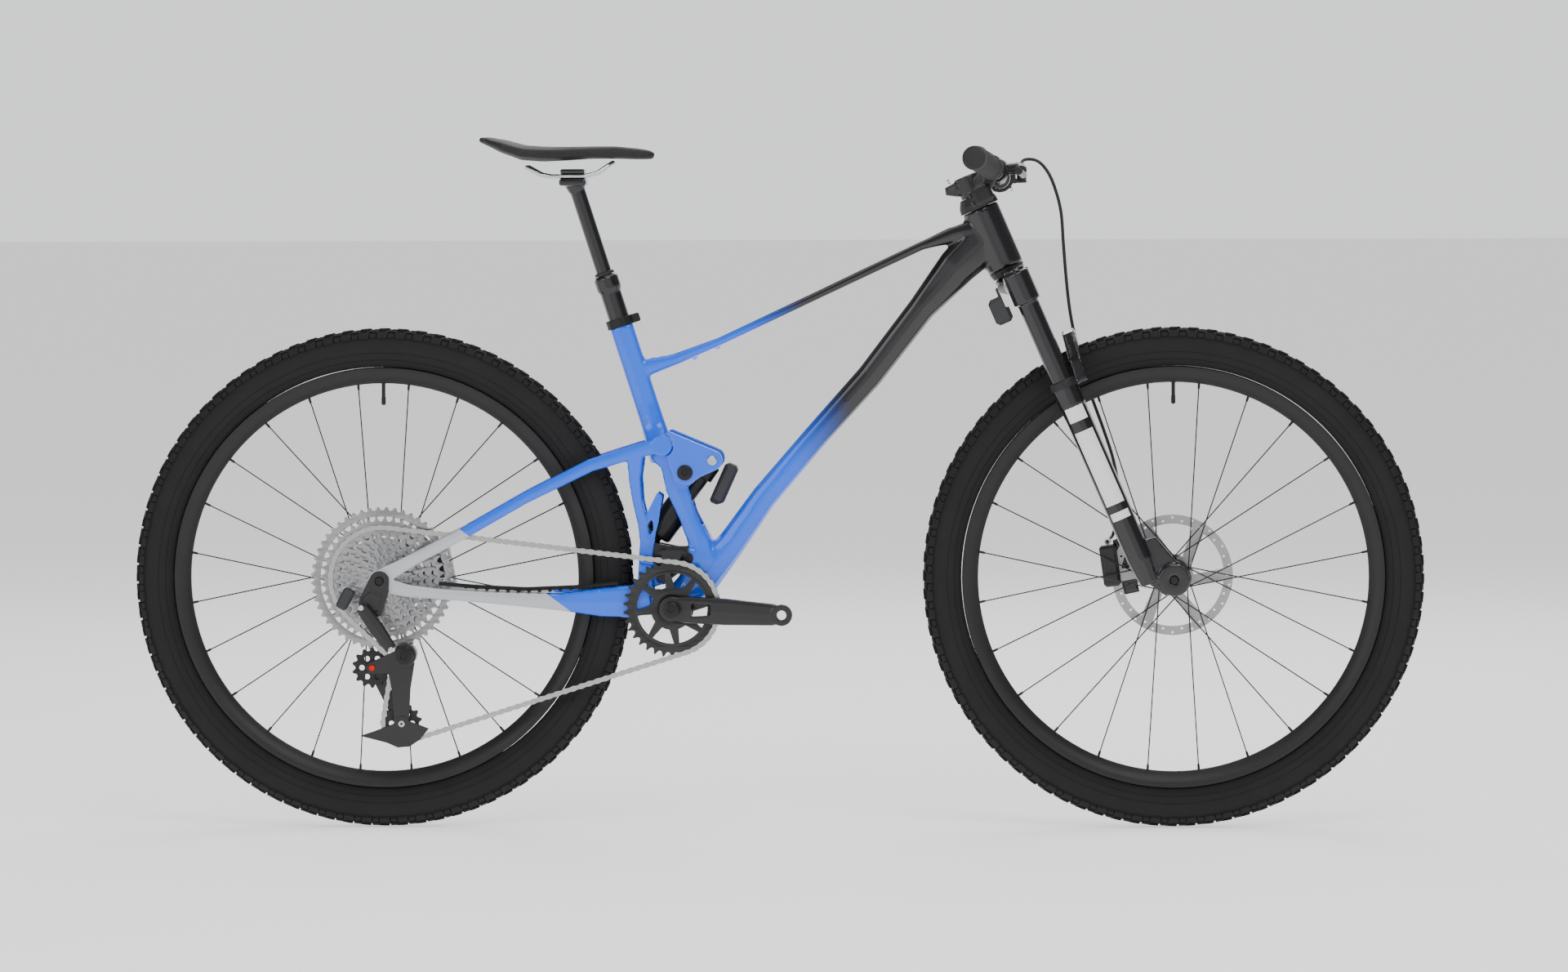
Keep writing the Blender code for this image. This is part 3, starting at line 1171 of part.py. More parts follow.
def left_crank_shape():
    arm, axle_end, pedal_end, pedal_hole = crank_arm(1)
    spindle_hole = across(CRANK_AXLE, 40, 66 + GAP, SPINDLE_RADIUS + GAP)
    return cut(union(arm, axle_end, pedal_end), pedal_hole, spindle_hole)


def chainring_shape():
    outer = ring_radius - CHAIN_HEIGHT / 2 - 0.6
    windows = []
    for i in range(8):
        start = 45 * i + 4
        windows.append([*arc(CRANK_AXLE, 54, start, start + 36, 4),
                        *arc(CRANK_AXLE, 36, start + 30, start + 8, 3)])
    holes = [circle(CRANK_AXLE, 19 + 2 * GAP), *windows]
    return plate(circle(CRANK_AXLE, outer, 32), RING_Y - 1.3, RING_Y + 1.3, holes)


right_crank = part("crank_arm_right", right_crank_shape(), BLACK_SATIN)
left_crank = part("crank_arm_left", left_crank_shape(), BLACK_SATIN)
chainring = part("chainring", chainring_shape(), BLACK_SATIN)


def chain_route():
    """The chain's middle line: (point, outward normal) all the way round, with +X forward and +Z up.

    Each wheel is (centre, pitch radius, Y, turn), and turn is 1 where the chain runs anticlockwise round it.
    """
    pulley = pitch_radius(PULLEY_TEETH)
    wheels = [
        (CRANK_AXLE, ring_radius, RING_Y, 1),
        (REAR_AXLE, pitch_radius(COG_TEETH[CHAIN_COG]), COG_Y, 1),
        (UPPER_PULLEY, pulley, COG_Y, -1),
        (LOWER_PULLEY, pulley, COG_Y, 1),
    ]
    tangents = []
    for (c1, r1, _, s1), (c2, r2, _, s2) in zip(wheels, wheels[1:] + wheels[:1]):
        dx, dz = c2[0] - c1[0], c2[1] - c1[1]
        normal = math.atan2(dz, dx) + math.acos((s2 * r2 - s1 * r1) / math.hypot(dx, dz))
        tangents.append(normal)
    route = []
    for i, (centre, radius, y, turn) in enumerate(wheels):
        begin, end = tangents[i - 1], tangents[i]
        if turn == 1:
            begin, end = begin + math.pi, end + math.pi
            sweep = (end - begin) % (2 * math.pi)
        else:
            sweep = -((begin - end) % (2 * math.pi))
        steps = max(2, round(abs(sweep) / math.radians(11)))
        for k in range(steps + 1):
            angle = begin + sweep * k / steps
            normal = Vector((math.cos(angle), 0, math.sin(angle)))
            route.append((Vector(on_x_z(centre, y)) + normal * radius, normal * turn))
    return route


def chain_shape():
    bm = bmesh.new()
    rings = []
    for point, normal in chain_route():
        corners = []
        for a, b in ((-1, -1), (1, -1), (1, 1), (-1, 1)):
            corners.append(point + normal * (a * CHAIN_HEIGHT / 2) + Vector((0, b * CHAIN_WIDTH / 2, 0)))
        rings.append([bm.verts.new(c * MM) for c in corners])
    for a, b in zip(rings, rings[1:] + rings[:1]):
        for k in range(4):
            bm.faces.new((a[k], a[(k + 1) % 4], b[(k + 1) % 4], b[k]))
    bmesh.ops.recalc_face_normals(bm, faces=bm.faces)
    return from_bmesh(bm)


chain = part("chain", chain_shape(), STEEL)


# ---------------------------------------------------------------- saddle and dropper post
RAIL_Y = 22.0
RAIL_Z = 968.5
RAIL_RADIUS = 3.5
CLAMP_X = -302.0


def seatpost_inner_shape():
    tube_piece = cylinder(post(-38), post(SEAL_HEAD_TOP + POST_EXPOSED), POST_INNER_RADIUS)
    neck = cylinder(post(SEAL_HEAD_TOP + POST_EXPOSED - 14), (CLAMP_X, 0, RAIL_Z - 8), 13, 15)
    width = 2 * RAIL_Y + 12
    cradle = block((CLAMP_X, 0, RAIL_Z - 9), (40, width, 10), 2)
    middle = block((CLAMP_X, 0, RAIL_Z), (36, 2 * (RAIL_Y - RAIL_RADIUS - GAP) - 1, 18))
    top_clamp = block((CLAMP_X, 0, RAIL_Z + 7.5), (36, width, 6.5), 1)
    return union(tube_piece, neck, cradle, middle, top_clamp)


def saddle_rail_shape():
    half = [(-372, 24, 983), (-350, 23, 971), (-336, RAIL_Y, RAIL_Z), (-285, RAIL_Y, RAIL_Z),
            (-266, 19, 973), (-250, 12, 984), (-243, 4, 988.5)]
    other = [(x, -y, z) for x, y, z in half]
    return tube(half + other[::-1], RAIL_RADIUS, 2)


def saddle_shape():
    rows = [(-441, 1023, 22, 3.5), (-428, 1020.5, 48, 6.5), (-405, 1013, 68, 10), (-375, 1003.5, 72, 11.5),
            (-345, 1001.5, 62, 11.5), (-312, 1002, 44, 10.5), (-275, 1003.5, 29, 9.5),
            (-240, 1003.5, 22, 9.5), (-208, 1001.5, 19, 8.5), (-190, 1000, 16, 7), (-182, 998.5, 10, 4.5)]
    return loft([((x, 0, z), wide, tall) for x, z, wide, tall in rows], sides=14, squareness=2.6)


post_inner = part("seatpost_inner", seatpost_inner_shape(), BLACK_GLOSS)
rails = part("saddle_rails", saddle_rail_shape(), BLACK_SATIN)
saddle = part("saddle", saddle_shape(), BLACK_SATIN)

body("dropper_travel", post(SEAL_HEAD_TOP), [post_inner, rails, saddle], frame_body)
body("crank_axle", on_x_z(CRANK_AXLE, 0), [right_crank, left_crank, chainring], frame_body)
swing = body("swing_centre", on_x_z(SWING_CENTRE, 0), [
    swingarm, guard, rear_axle, rear_caliper, hanger, battery, chain], frame_body)
body("rear_wheel_axle", on_x_z(REAR_AXLE, 0), rear_wheel, swing)
body("cassette_axle", on_x_z(REAR_AXLE, FIRST_COG_Y), [cassette], swing)
outer_pivot = body("outer_link_pivot", on_x_z(LINK_TOP, OUTER_LINK_Y), [outer_link], swing)
body("inner_link_pivot", on_x_z(LINK_TOP, INNER_LINK_Y), [inner_link], swing)
knuckle_pivot = body("knuckle_pivot", on_x_z(LINK_BOTTOM, OUTER_LINK_Y), [knuckle], outer_pivot)
cage_pivot = body("cage_pivot", on_x_z(CAGE_PIVOT, -65), [cage], knuckle_pivot)
body("upper_pulley_axle", on_x_z(UPPER_PULLEY, COG_Y), [upper_pulley], cage_pivot)
body("lower_pulley_axle", on_x_z(LOWER_PULLEY, COG_Y), [lower_pulley], cage_pivot)
rocker_body = body("rocker_pivot", on_x_z(ROCKER_PIVOT, 0), [rocker], frame_body)
body("lower_link_pivot", on_x_z(LINK_PIVOT, 0), [lower_link], frame_body)
shock_top = body("shock_top_eye", on_x_z(SHOCK_TOP, 0), [shock_body, shock_module], rocker_body)
body("shock_stroke", on_x_z(SHOCK_BOTTOM, 0), [air_can], shock_top)
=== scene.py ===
"""Looks for a full-suspension mountain bike, built round its packed working model."""

import json
import math

import bpy
from mathutils import Matrix, Vector


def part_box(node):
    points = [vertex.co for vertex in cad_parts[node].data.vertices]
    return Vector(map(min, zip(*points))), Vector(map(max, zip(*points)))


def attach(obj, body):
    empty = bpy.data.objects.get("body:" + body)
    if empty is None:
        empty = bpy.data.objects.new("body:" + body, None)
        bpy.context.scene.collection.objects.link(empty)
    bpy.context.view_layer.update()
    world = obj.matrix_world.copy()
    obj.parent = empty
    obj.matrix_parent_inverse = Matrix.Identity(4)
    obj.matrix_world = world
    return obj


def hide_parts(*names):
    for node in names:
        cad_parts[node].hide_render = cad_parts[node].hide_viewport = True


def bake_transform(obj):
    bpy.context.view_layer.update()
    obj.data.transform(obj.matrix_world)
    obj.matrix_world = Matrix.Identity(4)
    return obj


bl_info = {
    "name": "Mountain bike looks",
    "version": (1, 0, 0),
    "blender": (4, 5, 0),
    "location": "View3D > Sidebar > Bike",
    "description": "Builds the tyres, paint, chain, hose and trim of a full-suspension mountain bike",
    "category": "Object",
}

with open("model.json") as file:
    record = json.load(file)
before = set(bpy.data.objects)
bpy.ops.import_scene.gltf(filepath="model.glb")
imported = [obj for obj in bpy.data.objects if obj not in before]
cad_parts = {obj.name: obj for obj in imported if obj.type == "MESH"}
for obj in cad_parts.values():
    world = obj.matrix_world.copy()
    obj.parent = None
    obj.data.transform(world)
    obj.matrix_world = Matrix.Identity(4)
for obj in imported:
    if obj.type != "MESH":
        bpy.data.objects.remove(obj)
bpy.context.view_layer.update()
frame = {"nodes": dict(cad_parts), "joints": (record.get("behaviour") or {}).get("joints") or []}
JOINTS = {joint["name"]: joint for joint in frame["joints"]}


def box_middle(node):
    low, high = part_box(node)
    return (low + high) / 2


REAR_AXLE = Vector(JOINTS["rear_wheel_spin"]["pos_m"])
FRONT_AXLE = Vector(JOINTS["front_wheel_spin"]["pos_m"])
CRANK_AXLE = Vector(JOINTS["crank_spin"]["pos_m"])
UPPER_PULLEY = Vector(JOINTS["upper_pulley_spin"]["pos_m"])
LOWER_PULLEY = Vector(JOINTS["lower_pulley_spin"]["pos_m"])
STEER_UP = Vector(JOINTS["steering"]["axis"])
STEER_FORWARD = Vector((STEER_UP.z, 0, -STEER_UP.x))
WHEEL_RADIUS = REAR_AXLE.z
SIDEWAYS = Vector((0, 1, 0))

POST_FOOT = Vector((-0.2342, 0.0, 0.7542))
FRAME_WALL = 0.0395  # half the frame's width at its pivots
SIDES = ((-1, "right"), (1, "left"))

LEG_Y = 0.065
LEG_TOP = 0.328
LEG_FORWARD = 0.0095
BAR_RADIUS = 0.0195  # of the light bars, a little proud of the leg

# Sizes of the standard parts, in metres
RIM_EDGE = 0.3135
RIM_DEPTH = 0.024
RIM_HALF = 0.0155
TYRE_HALF = 0.0292
TYRE_MIDDLE = RIM_EDGE + 0.027
HUB_FLANGE = 0.026
CHAIN_PITCH = 0.0127
RING_TEETH = 34
RING_Y = -0.052
PULLEY_TEETH = 14
COG_TEETH = (52, 44, 38, 32, 28, 24, 21, 18, 16, 14, 12, 10)
COG_START = -0.0315
COG_GAP = 0.0036
CHAIN_COG = 2
COG_Y = COG_START - COG_GAP * CHAIN_COG


# ---------------------------------------------------------------- settings
class BikeWheelSettings(bpy.types.PropertyGroup):
    """Sizes of the wheels' visible pieces."""

    knob_height: bpy.props.FloatProperty(
        name="Knob height", description="How far the tread knobs stand out of the tyre",
        default=0.0042, min=0.001, max=0.008, unit="LENGTH")
    knob_rows: bpy.props.IntProperty(
        name="Knob rows", description="Rows of tread knobs round each tyre", default=84, min=40, max=120)
    spokes: bpy.props.IntProperty(
        name="Spokes", description="Spokes in each wheel", default=24, min=16, max=36)
    spoke_width: bpy.props.FloatProperty(
        name="Spoke width", description="Diameter of a spoke", default=0.0019, unit="LENGTH")


class BikePaintSettings(bpy.types.PropertyGroup):
    """Colours of the frame and its trim."""

    blue: bpy.props.FloatVectorProperty(
        name="Blue", description="Paint at the rear half of the frame",
        default=(0.0, 0.12, 0.85), min=0, max=1, subtype="COLOR")
    black: bpy.props.FloatVectorProperty(
        name="Black", description="Paint at the head of the frame and on the fork",
        default=(0.008, 0.008, 0.009), min=0, max=1, subtype="COLOR")
    silver: bpy.props.FloatVectorProperty(
        name="Silver", description="Paint at the tail of the rear stays",
        default=(0.48, 0.49, 0.51), min=0, max=1, subtype="COLOR")
    stripe: bpy.props.FloatVectorProperty(
        name="Stripe", description="Plain bars on the fork legs",
        default=(0.8, 0.8, 0.8), min=0, max=1, subtype="COLOR")
    fade_start: bpy.props.FloatProperty(
        name="Fade start", description="Place along the frame where the blue starts to fade",
        default=-0.055, unit="LENGTH")
    fade_end: bpy.props.FloatProperty(
        name="Fade end", description="Place along the frame where the paint is all black",
        default=0.095, unit="LENGTH")


class BikeStageSettings(bpy.types.PropertyGroup):
    """The camera and lights."""

    lens: bpy.props.FloatProperty(name="Lens", description="Focal length", default=145.3, unit="CAMERA")
    floor: bpy.props.FloatProperty(
        name="Floor size", description="Width of the floor", default=120.0, unit="LENGTH")
    lamp: bpy.props.FloatProperty(
        name="Lamp power", description="Power of the main lamp", default=150.0, unit="POWER")


# ---------------------------------------------------------------- shader helpers
def new_group(name, inputs, outputs):
    """A shader node group with float, colour or vector sockets, and its two end nodes."""
    group = bpy.data.node_groups.new(name, "ShaderNodeTree")
    for label, kind, value in inputs:
        socket = group.interface.new_socket(label, in_out="INPUT", socket_type=kind)
        if value is not None:
            socket.default_value = value
    for label, kind in outputs:
        group.interface.new_socket(label, in_out="OUTPUT", socket_type=kind)
    return group, group.nodes.new("NodeGroupInput"), group.nodes.new("NodeGroupOutput")


def wire(tree, source, target):
    tree.links.new(source, target)


def add_node(tree, kind, **values):
    node = tree.nodes.new(kind)
    for key, value in values.items():
        setattr(node, key, value)
    return node


def arithmetic(tree, operation, first, second):
    """A Math node on two values, each a socket or a number."""
    node = add_node(tree, "ShaderNodeMath", operation=operation)
    for slot, value in enumerate((first, second)):
        if isinstance(value, (int, float)):
            node.inputs[slot].default_value = value
        else:
            wire(tree, value, node.inputs[slot])
    return node.outputs[0]


def noise_value(tree, vector, scale, detail=3.0):
    """A noise pattern on a vector socket; the scale is a number or a socket."""
    noise = add_node(tree, "ShaderNodeTexNoise")
    noise.inputs["Detail"].default_value = detail
    if isinstance(scale, (int, float)):
        noise.inputs["Scale"].default_value = scale
    else:
        wire(tree, scale, noise.inputs["Scale"])
    wire(tree, vector, noise.inputs["Vector"])
    return noise.outputs["Fac"]


def build_grain_group():
    """Fine surface grain: a bump height and a small change of roughness."""
    group, start, end = new_group(
        "surface_grain",
        [("Scale", "NodeSocketFloat", 900.0), ("Roughness", "NodeSocketFloat", 0.5),
         ("Spread", "NodeSocketFloat", 0.1)],
        [("Height", "NodeSocketFloat"), ("Roughness", "NodeSocketFloat")])
    place = add_node(group, "ShaderNodeTexCoord").outputs["Object"]
    fine = noise_value(group, place, start.outputs["Scale"])
    patches = noise_value(group, place, 38.0)
    centred = arithmetic(group, "SUBTRACT", patches, 0.5)
    change = arithmetic(group, "MULTIPLY", centred, start.outputs["Spread"])
    wire(group, fine, end.inputs["Height"])
    wire(group, arithmetic(group, "ADD", start.outputs["Roughness"], change), end.inputs["Roughness"])
    return group


def build_dust_group():
    """Dust that lies in patches, a little thicker on faces that look up."""
    group, start, end = new_group(
        "light_dust",
        [("Colour", "NodeSocketColor", (0.02, 0.02, 0.02, 1)),
         ("Dust", "NodeSocketColor", (0.2, 0.19, 0.17, 1)),
         ("Amount", "NodeSocketFloat", 0.1), ("Scale", "NodeSocketFloat", 22.0)],
        [("Colour", "NodeSocketColor")])
    place = add_node(group, "ShaderNodeTexCoord").outputs["Object"]
    patches = noise_value(group, place, start.outputs["Scale"], 6.0)
    facing = add_node(group, "ShaderNodeSeparateXYZ")
    wire(group, add_node(group, "ShaderNodeNewGeometry").outputs["Normal"], facing.inputs[0])
    up = arithmetic(group, "ADD", arithmetic(group, "MULTIPLY", facing.outputs["Z"], 0.3), 0.7)
    share = arithmetic(group, "MULTIPLY", arithmetic(group, "MULTIPLY", patches, up), start.outputs["Amount"])
    mix = add_node(group, "ShaderNodeMix", data_type="RGBA")
    wire(group, share, mix.inputs["Factor"])
    wire(group, start.outputs["Colour"], mix.inputs["A"])
    wire(group, start.outputs["Dust"], mix.inputs["B"])
    wire(group, mix.outputs["Result"], end.inputs["Colour"])
    return group


def build_brushed_group():
    """Fine scratches drawn out along one axis, for turned and brushed metal."""
    group, start, end = new_group(
        "brushed_lines",
        [("Stretch", "NodeSocketVector", (1, 1, 1)), ("Scale", "NodeSocketFloat", 240.0),
         ("Roughness", "NodeSocketFloat", 0.3), ("Spread", "NodeSocketFloat", 0.15)],
        [("Height", "NodeSocketFloat"), ("Roughness", "NodeSocketFloat")])
    place = add_node(group, "ShaderNodeTexCoord").outputs["Object"]
    drawn = add_node(group, "ShaderNodeVectorMath", operation="MULTIPLY")
    wire(group, place, drawn.inputs[0])
    wire(group, start.outputs["Stretch"], drawn.inputs[1])
    lines = noise_value(group, drawn.outputs[0], start.outputs["Scale"], 5.0)
    change = arithmetic(group, "MULTIPLY", arithmetic(group, "SUBTRACT", lines, 0.5), start.outputs["Spread"])
    wire(group, lines, end.inputs["Height"])
    wire(group, arithmetic(group, "ADD", start.outputs["Roughness"], change), end.inputs["Roughness"])
    return group


GROUPS = {}
MATERIALS = {}


def plain_shader(name, metallic=0.0, coat=0.0, specular=0.5):
    """A new material with its Principled BSDF, whose even values are set on its own sockets."""
    material = bpy.data.materials.new(name)
    material.use_nodes = True
    shader = material.node_tree.nodes["Principled BSDF"]
    shader.inputs["Metallic"].default_value = metallic
    shader.inputs["Coat Weight"].default_value = coat
    shader.inputs["Coat Roughness"].default_value = 0.06
    shader.inputs["Specular IOR Level"].default_value = specular
    MATERIALS[name] = material
    return material, material.node_tree, shader


def put_group(tree, name, **values):
    node = add_node(tree, "ShaderNodeGroup", node_tree=GROUPS[name])
    for key, value in values.items():
        node.inputs[key].default_value = value
    return node


def bump_to(tree, shader, height, strength, distance=0.001):
    bump = add_node(tree, "ShaderNodeBump")
    bump.inputs["Strength"].default_value = strength
    bump.inputs["Distance"].default_value = distance
    wire(tree, height, bump.inputs["Height"])
    wire(tree, bump.outputs["Normal"], shader.inputs["Normal"])


def grained(name, colour, roughness, grain=900.0, bump=0.15, spread=0.1, metallic=0.0, coat=0.0, dust=0.03,
            specular=0.3):
    """A finish with fine grain and a trace of dust: moulded plastic, rubber, anodised or painted metal."""
    material, tree, shader = plain_shader(name, metallic, coat, specular)
    surface = put_group(tree, "surface_grain", Scale=grain, Roughness=roughness, Spread=spread)
    cover = put_group(tree, "light_dust", Colour=(*colour, 1), Amount=dust)
    wire(tree, cover.outputs["Colour"], shader.inputs["Base Color"])
    wire(tree, surface.outputs["Roughness"], shader.inputs["Roughness"])
    bump_to(tree, shader, surface.outputs["Height"], bump, 0.0003)
    return material


def brushed(name, colour, roughness, stretch, scale=240.0, bump=0.08):
    """A bright metal with drawn lines."""
    material, tree, shader = plain_shader(name, 1.0)
    lines = put_group(tree, "brushed_lines", Stretch=stretch, Scale=scale, Roughness=roughness)
    cover = put_group(tree, "light_dust", Colour=(*colour, 1), Amount=0.08)
    wire(tree, cover.outputs["Colour"], shader.inputs["Base Color"])
    wire(tree, lines.outputs["Roughness"], shader.inputs["Roughness"])
    bump_to(tree, shader, lines.outputs["Height"], bump, 0.0002)
    return material


def place_mask(tree, along, start, end):
    """0 before one place and 1 after another, measured along a direction through the bike."""
    place = add_node(tree, "ShaderNodeTexCoord").outputs["Object"]
    dot = add_node(tree, "ShaderNodeVectorMath", operation="DOT_PRODUCT")
    wire(tree, place, dot.inputs[0])
    dot.inputs[1].default_value = along
    ramp = add_node(tree, "ShaderNodeMapRange", interpolation_type="SMOOTHSTEP")
    ramp.inputs["From Min"].default_value = start
    ramp.inputs["From Max"].default_value = end
    wire(tree, dot.outputs["Value"], ramp.inputs["Value"])
    return ramp.outputs["Result"]


def two_tone(name, first, second, along, start, end):
    """Lacquered paint that goes from one colour to another across the frame."""
    material, tree, shader = plain_shader(name, 0.0, 0.8, 0.2)
    mix = add_node(tree, "ShaderNodeMix", data_type="RGBA")
    mix.inputs["A"].default_value = (*first, 1)
    mix.inputs["B"].default_value = (*second, 1)
    wire(tree, place_mask(tree, along, start, end), mix.inputs["Factor"])
    surface = put_group(tree, "surface_grain", Scale=2600.0, Roughness=0.26, Spread=0.06)
    cover = put_group(tree, "light_dust", Amount=0.015)
    wire(tree, mix.outputs["Result"], cover.inputs["Colour"])
    wire(tree, cover.outputs["Colour"], shader.inputs["Base Color"])
    wire(tree, surface.outputs["Roughness"], shader.inputs["Roughness"])
    bump_to(tree, shader, surface.outputs["Height"], 0.03, 0.0002)
    return material


# ---------------------------------------------------------------- modelling helpers
def deselect():
    if bpy.context.object and bpy.context.object.mode != "OBJECT":
        bpy.ops.object.mode_set(mode="OBJECT")
    bpy.ops.object.select_all(action="DESELECT")


def take(piece):
    """Makes one piece the only selected and active one."""
    deselect()
    piece.select_set(True)
    bpy.context.view_layer.objects.active = piece
    return piece


def named(name):
    piece = bpy.context.object
    piece.name = name
    piece.data.name = name
    return piece


def settle(piece, matrix=None):
    """Puts a piece in its place and writes the place into its mesh."""
    take(piece)
    if matrix is not None:
        piece.matrix_world = matrix @ piece.matrix_world
    bpy.ops.object.transform_apply(location=True, rotation=True, scale=True)
    return piece


def apply_modifier(piece, kind, **values):
    take(piece)
    step = piece.modifiers.new(kind.title(), kind)
    for key, value in values.items():
        setattr(step, key, value)
    bpy.ops.object.modifier_apply(modifier=step.name)
    return piece


def smooth_faces(piece, angle=35.0):
    take(piece)
    bpy.ops.object.shade_smooth_by_angle(angle=math.radians(angle))
    return piece


def joined(pieces, name):
    deselect()
    for piece in pieces:
        piece.select_set(True)
    bpy.context.view_layer.objects.active = pieces[0]
    if len(pieces) > 1:
        bpy.ops.object.join()
    return named(name)


def looking(centre, direction):
    """Turns local +Z to a direction at a centre."""
    turn = Vector(direction).to_track_quat("Z", "Y").to_matrix().to_4x4()
    return Matrix.Translation(Vector(centre)) @ turn


def lathe(name, profile, centre, axis=(0, 1, 0), steps=64, closed=True, angle=35.0):
    """A turned piece: its profile of (radius, height) points is drawn by extruding a corner, then spun."""
    deselect()
    bpy.ops.mesh.primitive_plane_add(size=0.001)
    piece = named(name)
    bpy.ops.object.mode_set(mode="EDIT")
    bpy.ops.mesh.select_all(action="SELECT")
    bpy.ops.mesh.merge(type="CENTER")
    bpy.ops.object.mode_set(mode="OBJECT")
    piece.data.vertices[0].co = (profile[0][0], 0, profile[0][1])
    bpy.ops.object.mode_set(mode="EDIT")
    bpy.ops.mesh.select_all(action="SELECT")
    for before, after in zip(profile, profile[1:]):
        step = (after[0] - before[0], 0, after[1] - before[1])
        bpy.ops.mesh.extrude_region_move(TRANSFORM_OT_translate={"value": step})
    if closed:
        bpy.ops.object.mode_set(mode="OBJECT")
        for vertex in piece.data.vertices:
            vertex.select = vertex.index in (0, len(profile) - 1)
        bpy.ops.object.mode_set(mode="EDIT")
        bpy.ops.mesh.edge_face_add()
    bpy.ops.mesh.select_all(action="SELECT")
    bpy.ops.mesh.spin(steps=steps, angle=2 * math.pi, center=(0, 0, 0), axis=(0, 0, 1), use_auto_merge=True)
    bpy.ops.mesh.select_all(action="SELECT")
    bpy.ops.mesh.remove_doubles(threshold=1e-6)
    bpy.ops.mesh.normals_make_consistent(inside=False)
    bpy.ops.object.mode_set(mode="OBJECT")
    settle(piece, looking(centre, axis))
    return smooth_faces(piece, angle)


def plate(name, rings, y, thickness, bevel=0.0):
    """A flat piece cut from sheet: its outline and holes are rings of (X, Z), and it lies at Y."""
    curve = bpy.data.curves.new(name, "CURVE")
    curve.dimensions = "2D"
    curve.fill_mode = "BOTH"
    curve.extrude = thickness / 2 - bevel
    curve.bevel_depth = bevel
    curve.bevel_resolution = 1
    curve.offset = -bevel
    for ring in rings:
        spline = curve.splines.new("POLY")
        spline.points.add(len(ring) - 1)
        for point, (x, z) in zip(spline.points, ring):
            point.co = (x, z, 0, 1)
        spline.use_cyclic_u = True
    piece = bpy.data.objects.new(name, curve)
    bpy.context.scene.collection.objects.link(piece)
    piece.matrix_world = Matrix.Translation((0, y, 0)) @ Matrix.Rotation(math.pi / 2, 4, "X")
    take(piece)
    bpy.ops.object.convert(target="MESH")
    piece = named(name)
    bpy.ops.object.mode_set(mode="EDIT")
    bpy.ops.mesh.select_all(action="SELECT")
    bpy.ops.mesh.remove_doubles(threshold=1e-6)
    bpy.ops.object.mode_set(mode="OBJECT")
    settle(piece)
    return smooth_faces(piece, 30)


def rod(name, points, radius, resolution=4, smooth=False):
    """A round bar, wire or hose along points."""
    curve = bpy.data.curves.new(name, "CURVE")
    curve.dimensions = "3D"
    curve.bevel_depth = radius
    curve.bevel_resolution = resolution
    curve.use_fill_caps = True
    spline = curve.splines.new("NURBS" if smooth else "POLY")
    spline.points.add(len(points) - 1)
    for point, where in zip(spline.points, points):
        point.co = (*where, 1)
    if smooth:
        spline.order_u = 4
        spline.use_endpoint_u = True
        spline.resolution_u = 6
    piece = bpy.data.objects.new(name, curve)
    bpy.context.scene.collection.objects.link(piece)
    take(piece)
    bpy.ops.object.convert(target="MESH")
    piece = named(name)
    bpy.ops.object.mode_set(mode="EDIT")
    bpy.ops.mesh.select_all(action="SELECT")
    bpy.ops.mesh.remove_doubles(threshold=1e-6)
    bpy.ops.object.mode_set(mode="OBJECT")
    return smooth_faces(piece, 40)


def slab(name, size, centre, bevel, matrix=None, segments=2):
    """A block with rounded edges."""
    deselect()
    bpy.ops.mesh.primitive_cube_add(size=1.0)
    piece = named(name)
    piece.scale = size
    bpy.ops.object.transform_apply(location=False, rotation=False, scale=True)
    bpy.ops.object.mode_set(mode="EDIT")
    bpy.ops.mesh.select_all(action="SELECT")
    bpy.ops.mesh.bevel(offset=bevel, segments=segments, affect="EDGES")
    bpy.ops.object.mode_set(mode="OBJECT")
    place = Matrix.Translation(Vector(centre))
    settle(piece, place if matrix is None else place @ matrix)
    return smooth_faces(piece, 40)


def copied(piece, matrix):
    """A copy of a piece with its own mesh, moved by a matrix."""
    made = bpy.data.objects.new(piece.name, piece.data.copy())
    bpy.context.scene.collection.objects.link(made)
    made.data.transform(matrix)
    return made


def polished(node, name, voxel, rounds=4, filler=None):
    """A copy of a working part with its facets rounded off: remade in small squares and smoothed.

    A filler is a piece that is melted into it, where a wall is thinner than the squares.
    """
    made = bpy.data.objects.new(name, frame["nodes"][node].data.copy())
    bpy.context.scene.collection.objects.link(made)
    if filler is not None:
        made = joined([made, filler], name)
    take(made)
    bpy.ops.object.mode_set(mode="EDIT")
    bpy.ops.mesh.select_all(action="SELECT")
    bpy.ops.mesh.remove_doubles(threshold=1e-6)
    bpy.ops.object.mode_set(mode="OBJECT")
    apply_modifier(made, "REMESH", mode="VOXEL", voxel_size=voxel)
    if rounds:
        apply_modifier(made, "SMOOTH", factor=0.5, iterations=rounds)
    take(made)
    bpy.ops.object.shade_smooth()
    return made


def wear(piece, material):
    piece.data.materials.clear()
    piece.data.materials.append(MATERIALS[material])
    return piece


def fit(piece, body, material, slot, *nodes):
    """Paints a piece, lets it ride on a body and stand for working parts; its slot is not used."""
    wear(piece, material)
    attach(piece, body)
    if nodes:
        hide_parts(*nodes)
    return piece


def dress(rows):
    """Rounds off and paints parts: (node, piece, body, square size, smoothing, finish, slot) rows."""
    for node, name, body, voxel, rounds, finish, slot in rows:
        fit(polished(node, name, voxel, rounds), body, finish, slot, node)


def polar(centre, radius, angle):
    return (centre[0] + radius * math.cos(angle), centre[1] + radius * math.sin(angle))


def circle(centre, radius, count=48):
    return [polar(centre, radius, 2 * math.pi * i / count) for i in range(count)]


def swept(centre, radius, start, end, count):
    """Points along an arc between two angles."""
    return [polar(centre, radius, start + (end - start) * k / (count - 1)) for k in range(count)]


def flat(point):
    return (point[0], point[2])


def pitch_radius(teeth):
    return CHAIN_PITCH / (2 * math.sin(math.pi / teeth))


